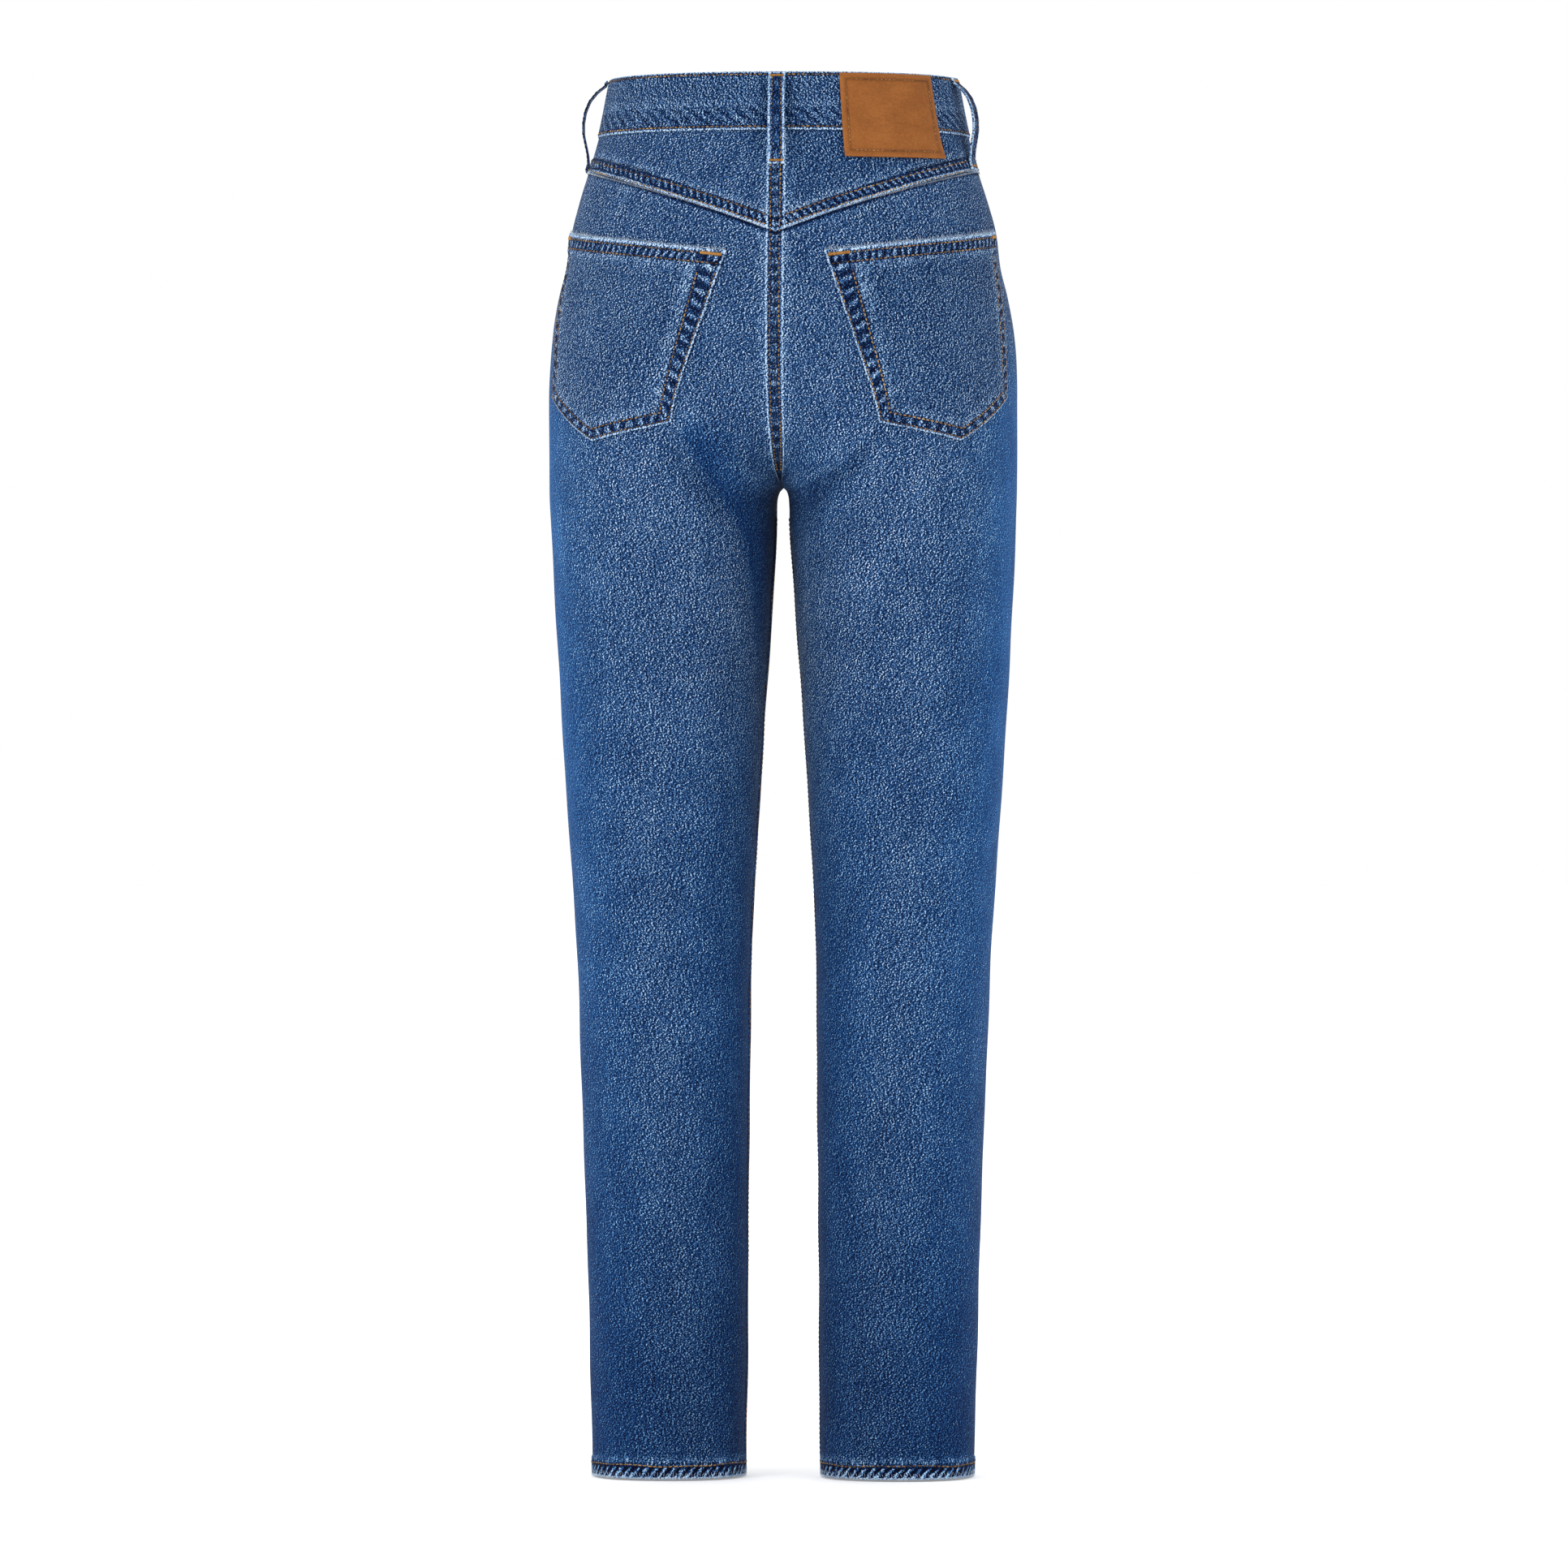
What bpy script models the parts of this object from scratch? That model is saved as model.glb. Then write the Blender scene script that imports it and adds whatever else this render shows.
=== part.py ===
"""A pair of high-waisted tapered denim jeans, filled out as worn, with no wearer inside.

Metres, +Z up. The front faces -Y and the back +Y, and the wearer's left is +X. The origin is
the centre of the waist at half the waistband's height. A "drop" is a depth below the top edge
of the waistband, and an "arc" is a length measured round the cloth on one level.
"""

import math
from collections import namedtuple
from functools import lru_cache

import bmesh
import bpy
import numpy as np
from mathutils import Vector

# Driving dimensions
CLOTH = 0.0012
BAND_HEIGHT = 0.0415
BAND_THICK = 0.0024
TOP = BAND_HEIGHT / 2
HEM_DROP = 0.9947
HEM_HEIGHT = 0.0122
CROTCH_DROP = 0.2894
SEAM_GAP = 0.0003
LIFT = 0.0003
OVERLAY_LIFT = 0.0010
EXTRA_LIFT = 0.0002
UNDERLAY_DROP = 0.0007
FOLD_RAISE = 0.0008
FELL_WIDTH = 0.0058
FELL_SLOPE = 0.0016
FELL_FLAT, FELL_FULL = 0.010, 0.035
OUTSEAM_FORWARD = 0.010
ROUNDNESS = 2.2
RING_POINTS = 160
PARTING_POWER = 6
STEP = 0.0008
LEFT, RIGHT = 1, -1

# One half of the garment, level by level. The cloth runs round from a middle line to the outer
# side and to the inner side. Above the crotch the inner side would reach past the centre line,
# as a minus, and is cut off there. "full" is that inner side as a plain round, and "inner" is
# where the cloth's inside really comes to, because the legs part sharply at the crotch. "bridge"
# is how softly the two halves join, and the last two are the outside depths.
Section = namedtuple("Section", "drop outer middle full inner bridge back front")
SECTIONS = (
    Section(0.0000, 0.1238, 0.0006, -0.1226, -0.1226, 0.000, 0.0940, 0.0940),
    Section(0.0415, 0.1322, 0.0006, -0.1310, -0.1310, 0.000, 0.0990, 0.0980),
    Section(0.0640, 0.1386, 0.0012, -0.1362, -0.1362, 0.001, 0.1040, 0.1020),
    Section(0.0870, 0.1459, 0.0027, -0.1405, -0.1405, 0.003, 0.1100, 0.1060),
    Section(0.1100, 0.1517, 0.0058, -0.1400, -0.1400, 0.006, 0.1160, 0.1090),
    Section(0.1335, 0.1546, 0.0098, -0.1350, -0.1350, 0.010, 0.1210, 0.1110),
    Section(0.1565, 0.1604, 0.0165, -0.1273, -0.1273, 0.014, 0.1250, 0.1120),
    Section(0.1800, 0.1644, 0.0275, -0.1093, -0.1093, 0.018, 0.1275, 0.1110),
    Section(0.2030, 0.1662, 0.0418, -0.0825, -0.0825, 0.018, 0.1280, 0.1090),
    Section(0.2260, 0.1668, 0.0569, -0.0530, -0.0530, 0.015, 0.1255, 0.1060),
    Section(0.2460, 0.1668, 0.0674, -0.0320, -0.0320, 0.011, 0.1220, 0.1040),
    Section(0.2650, 0.1668, 0.0750, -0.0168, -0.0163, 0.006, 0.1180, 0.1020),
    Section(0.2775, 0.1668, 0.0785, -0.0086, -0.0080, 0.003, 0.1152, 0.1007),
    Section(0.2848, 0.1668, 0.0802, -0.0045, -0.0036, 0.001, 0.1135, 0.0999),
    Section(CROTCH_DROP, 0.1668, 0.0811, -0.0022, 0.0000, 0.000, 0.1124, 0.0994),
    Section(0.2930, 0.1668, 0.0817, -0.0007, 0.0036, 0.000, 0.1116, 0.0990),
    Section(0.2990, 0.1667, 0.0826, 0.0014, 0.0054, 0.000, 0.1103, 0.0985),
    Section(0.3130, 0.1662, 0.0843, 0.0045, 0.0063, 0.000, 0.1074, 0.0974),
    Section(0.3420, 0.1650, 0.0862, 0.0080, 0.0080, 0.000, 0.1018, 0.0958),
    Section(0.4000, 0.1621, 0.0872, 0.0119, 0.0119, 0.000, 0.0925, 0.0928),
    Section(0.4580, 0.1586, 0.0874, 0.0160, 0.0160, 0.000, 0.0850, 0.0890),
    Section(0.5160, 0.1552, 0.0874, 0.0195, 0.0195, 0.000, 0.0790, 0.0840),
    Section(0.5740, 0.1511, 0.0871, 0.0230, 0.0230, 0.000, 0.0745, 0.0780),
    Section(0.6320, 0.1476, 0.0865, 0.0253, 0.0253, 0.000, 0.0720, 0.0715),
    Section(0.6900, 0.1453, 0.0856, 0.0259, 0.0259, 0.000, 0.0710, 0.0655),
    Section(0.8060, 0.1412, 0.0841, 0.0270, 0.0270, 0.000, 0.0690, 0.0565),
    Section(0.9220, 0.1378, 0.0827, 0.0276, 0.0276, 0.000, 0.0670, 0.0515),
    Section(HEM_DROP, 0.1360, 0.0823, 0.0285, 0.0285, 0.000, 0.0660, 0.0505),
)

# The yoke seam runs level from the side and dips to a V at the centre of the back.
YOKE_SIDE_DROP = 0.067
YOKE_CENTRE_DROP = 0.1145
YOKE_REACH = 0.185
YOKE_POWER = 1.5
YOKE_FELL = 0.0080

# Back pocket corners: arc from the centre of the back, and drop.
Corner = namedtuple("Corner", "arc drop")
POCKET_INNER_TOP = Corner(0.034, 0.128)
POCKET_OUTER_TOP = Corner(0.187, 0.110)
POCKET_OUTER_FOOT = Corner(0.189, 0.229)
POCKET_POINT = Corner(0.139, 0.2605)
POCKET_INNER_FOOT = Corner(0.076, 0.248)
POCKET_POINT_SHARE = 0.5
POCKET_HEM = 0.0135

# Hand pocket mouths at the front, and the fly
MOUTH_WIDTH = 0.118
MOUTH_DEPTH = 0.078
MOUTH_POWER = 1.7
MOUTH_LEVEL = 0.080
# The facing's grid: arcs forward from the side seam, and depths below the band.
FACING_ARCS = (SEAM_GAP / 2, 0.009, 0.022, 0.036, 0.050, 0.064, 0.078, 0.092, 0.104, 0.1165, 0.130)
FACING_DROPS = (SEAM_GAP, 0.009, 0.020, 0.034, 0.048, 0.060, 0.067, 0.076, 0.091, 0.108)
FLY_WIDTH = 0.038
FLY_LENGTH = 0.150
FLY_EDGE = 0.001
FLY_FOOT = BAND_HEIGHT + FLY_LENGTH
SHIELD_LAP = 0.006
SHIELD_PAST = 0.002
SHIELD_BELOW = 0.008
BAND_LAP = 0.034
BAND_OVERHANG = 0.0015
BAND_STEP_IN = 0.060

PATCH_NEAR, PATCH_FAR = 0.046, 0.121
PATCH_TOP, PATCH_FOOT = 0.0012, 0.0610
PATCH_THICK = 0.0016
PATCH_STEP_TOP, PATCH_STEP_FOOT = 0.0425, 0.0520

# Belt loops: arc from the centre of the back or, where front is set, of the front; how far the
# middle stands off the band; and the height that the foot sits above the cloth's inside.
Loop = namedtuple("Loop", "name side front arc bow foot")
LOOPS = (
    Loop("belt_loop_back", LEFT, False, 0.0, 0.0075, 0.0027),
    Loop("belt_loop_side_left", LEFT, False, 0.178, 0.0110, 0.0024),
    Loop("belt_loop_side_right", RIGHT, False, 0.156, 0.0100, 0.0024),
    Loop("belt_loop_front_left", LEFT, True, 0.070, 0.0095, 0.0018),
    Loop("belt_loop_front_right", RIGHT, True, 0.070, 0.0095, 0.0018),
)
LOOP_WIDTH = 0.0120
LOOP_THICK = 0.0018
LOOP_SETTLE_START, LOOP_SETTLE_END = 0.0455, 0.0600
# Share of the bow at each drop down the loop
LOOP_PROFILE = (
    (0.0008, 0.00), (0.0045, 0.05), (0.0100, 0.50), (0.0170, 0.85), (0.0250, 1.00),
    (0.0330, 0.98), (0.0410, 0.82), (0.0480, 0.52), (0.0545, 0.22), (0.0600, 0.03), (0.0665, 0.00),
)

BUTTON_ARC = 0.016
BUTTON_PROFILE = (
    (0.0, 0.0048), (0.0040, 0.0047), (0.0058, 0.0044), (0.0074, 0.0046), (0.0083, 0.0040),
    (0.0085, 0.0032), (0.0078, 0.0026), (0.0045, 0.0024), (0.0040, 0.0018), (0.0040, 0.0), (0.0, 0.0),
)
BUTTON_SIDES = 24

# Soft folds: three points by arc from the side, plus to the back and minus to the front, with
# the drop, then the half width and the depth.
Fold = namedtuple("Fold", "side a0 d0 a1 d1 a2 d2 width depth")
FOLDS = (
    Fold(LEFT, 0.164, 0.246, 0.1685, 0.2795, 0.215, 0.323, 0.015, 0.0028),
    Fold(RIGHT, 0.178, 0.255, 0.186, 0.2825, 0.234, 0.284, 0.012, 0.0024),
    Fold(RIGHT, 0.196, 0.284, 0.215, 0.306, 0.247, 0.308, 0.011, 0.0018),
    Fold(RIGHT, 0.148, 0.262, 0.176, 0.306, 0.212, 0.345, 0.014, 0.0012),
    Fold(LEFT, 0.078, 0.520, 0.094, 0.552, 0.108, 0.585, 0.020, 0.0014),
    Fold(RIGHT, 0.178, 0.553, 0.163, 0.588, 0.144, 0.622, 0.018, 0.0013),
    Fold(LEFT, -0.222, 0.262, -0.168, 0.248, -0.105, 0.222, 0.011, 0.0024),
    Fold(RIGHT, -0.219, 0.258, -0.163, 0.246, -0.110, 0.226, 0.011, 0.0022),
    Fold(LEFT, -0.176, 0.600, -0.124, 0.612, -0.066, 0.600, 0.017, 0.0016),
    Fold(RIGHT, -0.164, 0.612, -0.112, 0.622, -0.060, 0.606, 0.017, 0.0015),
)
FOLD_STEPS = 10


def between(levels, values, at):
    """A smooth curve through the values that never overshoots them (monotone cubic)."""
    levels = np.asarray(levels)
    values = np.asarray(values)
    width = np.diff(levels)
    rise = np.diff(values) / width
    slope = np.zeros(len(levels))
    slope[0], slope[-1] = rise[0], rise[-1]
    for i in range(1, len(levels) - 1):
        if rise[i - 1] * rise[i] > 0:
            before = 2 * width[i] + width[i - 1]
            after = width[i] + 2 * width[i - 1]
            slope[i] = (before + after) / (before / rise[i - 1] + after / rise[i])
    i = int(np.clip(np.searchsorted(levels, at) - 1, 0, len(width) - 1))
    t = (at - levels[i]) / width[i]
    start = (1 + 2 * t) * (1 - t) ** 2 * values[i] + t * (1 - t) ** 2 * width[i] * slope[i]
    end = t * t * (3 - 2 * t) * values[i + 1] + t * t * (t - 1) * width[i] * slope[i + 1]
    return start + end


def section(drop):
    levels, *columns = zip(*SECTIONS)
    return Section(drop, *(between(levels, column, drop) for column in columns))


def power(values):
    return np.sign(values) * np.abs(values) ** (2 / ROUNDNESS)


def inner_side(size, share):
    """How far from the centre line the cloth is, at a share of the way to the inner side."""
    return size.middle + (size.full - size.middle) * share + (size.inner - size.full) * share**PARTING_POWER


@lru_cache(maxsize=None)
def ring(drop):
    """The inside of the cloth on one level of the left half: x, y and arc, from the front seam
    round the side, where the arc is 0, to the back seam."""
    size = section(drop)
    outer, back, front = size.outer - CLOTH, size.back - CLOTH, size.front - CLOTH
    in_trunk = drop < CROTCH_DROP
    end = math.pi
    if in_trunk:
        share = np.linspace(0, 1, RING_POINTS + 1)
        last = np.interp(-size.bridge, -inner_side(size, share), share)
        end -= math.acos(last ** (ROUNDNESS / 2))
    turn = np.linspace(-end, end, 2 * RING_POINTS + 1)
    share = power(np.cos(turn))
    x = np.where(share > 0, size.middle + (outer - size.middle) * share, inner_side(size, -share))
    if in_trunk:
        x = np.sqrt(np.maximum(x * x - size.bridge**2, 0))
        x = x * outer / math.sqrt(outer**2 - size.bridge**2)
    y = (back - front) / 2 + (back + front) / 2 * power(np.sin(turn))
    arc = np.concatenate([[0], np.cumsum(np.hypot(np.diff(x), np.diff(y)))])
    return x, y, arc - arc[RING_POINTS]


def back_end(drop):
    return float(ring(drop)[2][-1])


def front_end(drop):
    return float(ring(drop)[2][0])


def bare_point(drop, arc):
    drop = round(drop, 7)
    x, y, arcs = ring(drop)
    return np.array((np.interp(arc, arcs, x), np.interp(arc, arcs, y), TOP - drop))


def outward(drop, arc):
    """The cloth's outward direction at a point of the left half."""
    low, high = front_end(drop), back_end(drop)
    along = bare_point(drop, min(arc + STEP, high)) - bare_point(drop, max(arc - STEP, low))
    above, below = max(drop - STEP, 0.0), min(drop + STEP, HEM_DROP)
    if not front_end(above) <= arc <= back_end(above):
        above = drop
    down = bare_point(below, arc) - bare_point(above, arc)
    normal = np.cross(down, along)
    return normal / np.linalg.norm(normal)


@lru_cache(maxsize=None)
def fold_line(fold):
    t = np.linspace(0, 1, FOLD_STEPS + 1)[:, None]
    points = np.array(((fold.a0, fold.d0), (fold.a1, fold.d1), (fold.a2, fold.d2)))
    return (1 - t) ** 2 * points[0] + 2 * t * (1 - t) * points[1] + t * t * points[2]


def fold_depth(side, drop, arc):
    """How far the cloth dips inwards in its soft folds."""
    depth = 0.0
    for fold in FOLDS:
        if fold.side != side:
            continue
        line = fold_line(fold)
        away = np.hypot(line[:, 0] - arc, line[:, 1] - drop)
        nearest = int(np.argmin(away))
        fade = math.sin(math.pi * (nearest + 1) / (FOLD_STEPS + 2))
        depth += fold.depth * fade * math.exp(-((away[nearest] / fold.width) ** 2))
    return depth


def cloth_point(side, drop, arc, lift=0.0):
    """A point this far outside the inner face of the cloth, on either half."""
    normal = outward(drop, arc)
    point = bare_point(drop, arc) + normal * (lift - fold_depth(side, drop, arc))
    point[0] = max(point[0], SEAM_GAP / 2)
    return Vector((side * point[0], point[1], point[2]))


def ramp(value, start, end):
    """0 before start, 1 after end, and a straight slope between."""
    return min(1.0, max(0.0, (value - start) / (end - start)))


def make_wall(name, columns, rows, place, thickness, material):
    """A wall of cloth from a grid: place(column, row, lift) gives points, lift 0 the inner face."""
    bm = bmesh.new()
    bmesh.ops.create_grid(bm, x_segments=columns - 1, y_segments=rows - 1, size=0.5)
    grid = {}
    for vert in bm.verts:
        cell = (round((vert.co.x + 0.5) * (columns - 1)), round((vert.co.y + 0.5) * (rows - 1)))
        grid[vert] = cell
    for vert, (i, j) in grid.items():
        vert.co = place(i, j, 0.0)
    inner = list(bm.verts)
    made = bmesh.ops.extrude_face_region(bm, geom=list(bm.faces), use_keep_orig=True)["geom"]
    outer = [item for item in made if isinstance(item, bmesh.types.BMVert)]
    nearest = {tuple(vert.co): grid[vert] for vert in inner}
    for vert in outer:
        i, j = nearest[tuple(vert.co)]
        vert.co = place(i, j, thickness(i, j))
    bmesh.ops.recalc_face_normals(bm, faces=list(bm.faces))
    return finish(bm, name, material)


def finish(bm, name, material):
    mesh = bpy.data.meshes.new(name)
    bm.to_mesh(mesh)
    bm.free()
    mesh.materials.append(material)
    mesh.shade_smooth()
    mesh.set_sharp_from_angle(angle=math.radians(40))
    obj = bpy.data.objects.new(name, mesh)
    PARTS.objects.link(obj)
    return obj


def make_material(name, color, roughness, metallic=0.0):
    material = bpy.data.materials.new(name)
    material.use_nodes = True
    shader = material.node_tree.nodes["Principled BSDF"]
    shader.inputs["Base Color"].default_value = (*color, 1.0)
    shader.inputs["Roughness"].default_value = roughness
    shader.inputs["Metallic"].default_value = metallic
    return material


def clear_scene():
    for obj in list(bpy.data.objects):
        bpy.data.objects.remove(obj, do_unlink=True)


# Seam lines

def yoke_seam(from_back):
    """Drop of the yoke seam at an arc from the centre of the back."""
    rest = max(0.0, 1 - from_back / YOKE_REACH)
    return YOKE_SIDE_DROP + (YOKE_CENTRE_DROP - YOKE_SIDE_DROP) * rest**YOKE_POWER


def pocket_mouth(from_front):
    """Drop of the front panel's top edge: the band seam, then the mouth of the hand pocket."""
    total = front_width(MOUTH_LEVEL)
    into = ramp(from_front, total - MOUTH_WIDTH, total)
    return BAND_HEIGHT + MOUTH_DEPTH * (1 - (1 - into) ** MOUTH_POWER) ** (1 / MOUTH_POWER)


def crotch_fade(drop):
    """Felled seams flatten where the four panels meet."""
    return ramp(abs(drop - CROTCH_DROP), FELL_FLAT, FELL_FULL)


def fell(arc_from_seam, drop):
    """Extra thickness of the felled seam along a panel's inner edge."""
    raised = 1 - ramp(arc_from_seam, FELL_WIDTH, FELL_WIDTH + FELL_SLOPE)
    return FOLD_RAISE * raised * crotch_fade(drop)


def hem(drop):
    return FOLD_RAISE * ramp(drop, HEM_DROP - HEM_HEIGHT - FELL_SLOPE, HEM_DROP - HEM_HEIGHT)


def fly_raise(from_front, drop):
    """The fly facing sewn behind the left front shows as a raised J."""
    if drop > FLY_FOOT:
        return 0.0
    inside = FLY_WIDTH
    if drop > FLY_FOOT - FLY_WIDTH:
        inside = math.sqrt(FLY_WIDTH**2 - (drop - FLY_FOOT + FLY_WIDTH) ** 2)
    return FOLD_RAISE * (1 - ramp(from_front, inside - FLY_EDGE, inside + FLY_EDGE))


# Panels

PANEL_DROPS = (
    0.145, 0.165, 0.185, 0.205, 0.224, 0.240, 0.253, 0.264, 0.273, 0.280, 0.2855, CROTCH_DROP,
    0.2909, 0.2938, 0.2985, 0.3055, 0.316, 0.331, 0.352, 0.380, 0.412, 0.447, 0.485, 0.525,
    0.568, 0.612, 0.658, 0.706, 0.756, 0.808, 0.860, 0.912, 0.955,
    HEM_DROP - HEM_HEIGHT - FELL_SLOPE, HEM_DROP - HEM_HEIGHT, HEM_DROP,
)
BACK_DROPS = (YOKE_CENTRE_DROP, 0.121, 0.133) + PANEL_DROPS
FRONT_DROPS = (BAND_HEIGHT, 0.055, 0.070, 0.085, 0.100, 0.115, 0.130) + PANEL_DROPS
YOKE_ROWS = 5
EDGE_BLEND_DROP = 0.200
BACK_NEAR, BACK_FAR = 6, 10
FRONT_NEAR, FRONT_FAR = 8, 8
STEADY_GIRTH = 0.238
FAR_SHARE = 0.70
CROWD_POWER = 3


def eased_drop(stations, row, top):
    """Rows start on the panel's shaped top edge and come level further down."""
    level = stations[row]
    ease = 1 - ramp(level, stations[0], EDGE_BLEND_DROP)
    return level + (top - stations[0]) * ease + (SEAM_GAP if row == 0 else 0.0)


def columns_across(total, steady, near, away):
    """Arcs across a panel from its centre seam and inner leg seam. Columns in the far part keep to
    the side seam, and those in the near part take up the length gained suddenly at the crotch."""
    steady = min(total, steady)
    far = FAR_SHARE * steady
    edge = FELL_WIDTH + FELL_SLOPE
    arcs = [SEAM_GAP / 2, FELL_WIDTH, edge]
    for k in range(1, near + 1):
        share = 1 - k / near
        arcs.append(total - far - (steady - far - edge) * share - (total - steady) * share**CROWD_POWER)
    return arcs + [total - far + (far - SEAM_GAP / 2) * (k + 1) / away for k in range(away)]


def back_width(drop):
    return back_end(drop) + OUTSEAM_FORWARD


def front_width(drop):
    return -front_end(drop) - OUTSEAM_FORWARD


@lru_cache(maxsize=None)
def back_arcs(drop):
    return columns_across(back_width(drop), STEADY_GIRTH + OUTSEAM_FORWARD, BACK_NEAR, BACK_FAR)


@lru_cache(maxsize=None)
def front_arcs(drop):
    """Two of the columns follow the fly's edge as far down as it goes."""
    steady = STEADY_GIRTH - OUTSEAM_FORWARD
    arcs = columns_across(front_width(drop), steady, FRONT_NEAR, FRONT_FAR)
    below = ramp(drop, FLY_FOOT, FLY_FOOT + FLY_WIDTH)
    for i, edge in ((5, FLY_WIDTH - FLY_EDGE), (6, FLY_WIDTH + FLY_EDGE)):
        arcs[i] = edge + (arcs[i] - edge) * below
    return arcs


def back_arc(i, drop):
    return back_arcs(drop)[i]


def front_arc(i, drop):
    return front_arcs(drop)[i]


def yoke_seam_at(i):
    return yoke_seam(back_arc(i, YOKE_CENTRE_DROP))


def make_back_panel(side, name):
    def cell(i, j):
        drop = eased_drop(BACK_DROPS, j, yoke_seam_at(i))
        return drop, back_arc(i, drop)

    def place(i, j, lift):
        drop, arc = cell(i, j)
        return cloth_point(side, drop, back_end(drop) - arc, lift)

    def thickness(i, j):
        drop, arc = cell(i, j)
        return CLOTH + max(fell(arc, drop), hem(drop))

    return make_wall(name, len(back_arcs(HEM_DROP)), len(BACK_DROPS), place, thickness, DENIM)


def make_front_panel(side, name):
    def cell(i, j):
        drop = eased_drop(FRONT_DROPS, j, pocket_mouth(front_arc(i, MOUTH_LEVEL)))
        return drop, front_arc(i, drop)

    def place(i, j, lift):
        drop, arc = cell(i, j)
        return cloth_point(side, drop, front_end(drop) + arc, lift)

    def thickness(i, j):
        drop, arc = cell(i, j)
        below_fly = ramp(drop, FLY_FOOT - FELL_WIDTH, FLY_FOOT)
        extra = max(fell(arc, drop) * below_fly, hem(drop))
        if side == LEFT:
            extra = max(extra, fly_raise(arc, drop))
        return CLOTH + extra

    return make_wall(name, len(front_arcs(HEM_DROP)), len(FRONT_DROPS), place, thickness, DENIM)


def make_yoke(side, name):
    def cell(i, j):
        top, foot = BAND_HEIGHT + SEAM_GAP, yoke_seam_at(i)
        fell_top = foot - YOKE_FELL
        drop = (top, (top + fell_top) / 2, fell_top - FELL_SLOPE, fell_top, foot)[j]
        return drop, back_arc(i, drop)

    def place(i, j, lift):
        drop, arc = cell(i, j)
        return cloth_point(side, drop, back_end(drop) - arc, lift)

    def thickness(i, j):
        drop, arc = cell(i, j)
        return CLOTH + max(FOLD_RAISE if j >= 3 else 0.0, fell(arc, drop))

    return make_wall(name, len(back_arcs(HEM_DROP)), YOKE_ROWS, place, thickness, DENIM)


# Pieces on and behind the panels

def make_back_pocket(side, name):
    across = np.linspace(0, 1, 11)
    hem_share = POCKET_HEM / (POCKET_INNER_FOOT.drop - POCKET_INNER_TOP.drop)
    down = [0.0, hem_share, hem_share + 0.02, 0.25, 0.37, 0.49, 0.61, 0.74, 0.87, 1.0]

    def place(i, j, lift):
        u, v = across[i], down[j]
        top = [a + (b - a) * u for a, b in zip(POCKET_INNER_TOP, POCKET_OUTER_TOP)]
        if u <= POCKET_POINT_SHARE:
            start, end, part = POCKET_INNER_FOOT, POCKET_POINT, u / POCKET_POINT_SHARE
        else:
            start, end = POCKET_POINT, POCKET_OUTER_FOOT
            part = (u - POCKET_POINT_SHARE) / (1 - POCKET_POINT_SHARE)
        foot = [a + (b - a) * part for a, b in zip(start, end)]
        arc, drop = (a + (b - a) * v for a, b in zip(top, foot))
        return cloth_point(side, drop, back_end(drop) - arc, CLOTH + OVERLAY_LIFT + lift)

    def thickness(i, j):
        return CLOTH + (FOLD_RAISE if j <= 1 else 0.0)

    return make_wall(name, len(across), len(down), place, thickness, DENIM)


def make_pocket_facing(side, name):
    """It lies under the front panel, and comes level with it where the band and side seam hold it."""
    def depth(from_side, below_band):
        below_top = ramp(below_band, SEAM_GAP, FACING_DROPS[1])
        inwards = max(
            min(below_top, ramp(from_side, SEAM_GAP / 2, FACING_ARCS[1])),
            ramp(from_side, FACING_ARCS[7], FACING_ARCS[8]),
            ramp(below_band, FACING_DROPS[5], FACING_DROPS[6]),
        )
        return (CLOTH + UNDERLAY_DROP) * inwards

    def place(i, j, lift):
        drop = BAND_HEIGHT + FACING_DROPS[j]
        arc = front_width(drop) - FACING_ARCS[i]
        inner = -depth(FACING_ARCS[i], FACING_DROPS[j])
        return cloth_point(side, drop, front_end(drop) + arc, lift + inner)

    columns, rows = len(FACING_ARCS), len(FACING_DROPS)
    return make_wall(name, columns, rows, place, lambda i, j: CLOTH, DENIM_DARK)


def make_fly_shield(name, columns=4, rows=9):
    """It lies behind the left front and reaches a little behind the right."""
    def place(i, j, lift):
        drop = BAND_HEIGHT + SEAM_GAP + (FLY_LENGTH + SHIELD_BELOW) * j / (rows - 1)
        across = FLY_WIDTH + SHIELD_PAST - (FLY_WIDTH + SHIELD_PAST + SHIELD_LAP) * i / (columns - 1)
        side = LEFT if across >= 0 else RIGHT
        return cloth_point(side, drop, front_end(drop) + abs(across), lift - CLOTH - UNDERLAY_DROP)

    return make_wall(name, columns, rows, place, lambda i, j: CLOTH, DENIM_DARK)


def band_point(drop, around, lift):
    """A point of the waistband: around is 0 at the front centre, 1 at the back and 2 at the front."""
    half = back_end(drop) - front_end(drop)
    lap = around * half
    side = LEFT
    inset = 0.0
    if lap > half:
        side, lap = RIGHT, 2 * half - lap
        inset = ramp(-lap, -BAND_STEP_IN, -BAND_STEP_IN / 4)
    if lap < 0:
        side, lap = -side, -lap
    inset = inset * inset * (3 - 2 * inset) * (BAND_THICK + 2 * LIFT)
    normal = outward(drop, front_end(drop) + lap)
    point = bare_point(drop, front_end(drop) + lap) + normal * (lift - inset)
    return Vector((side * point[0], point[1], point[2]))


def make_waistband(name, columns=77, rows=3):
    half = back_end(BAND_HEIGHT / 2) - front_end(BAND_HEIGHT / 2)
    start, end = -BAND_OVERHANG / half, 2 + BAND_LAP / half

    def place(i, j, lift):
        drop = (0.0, BAND_HEIGHT / 2, BAND_HEIGHT)[j]
        return band_point(drop, start + (end - start) * i / (columns - 1), lift)

    return make_wall(name, columns, rows, place, lambda i, j: BAND_THICK, DENIM)


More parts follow.
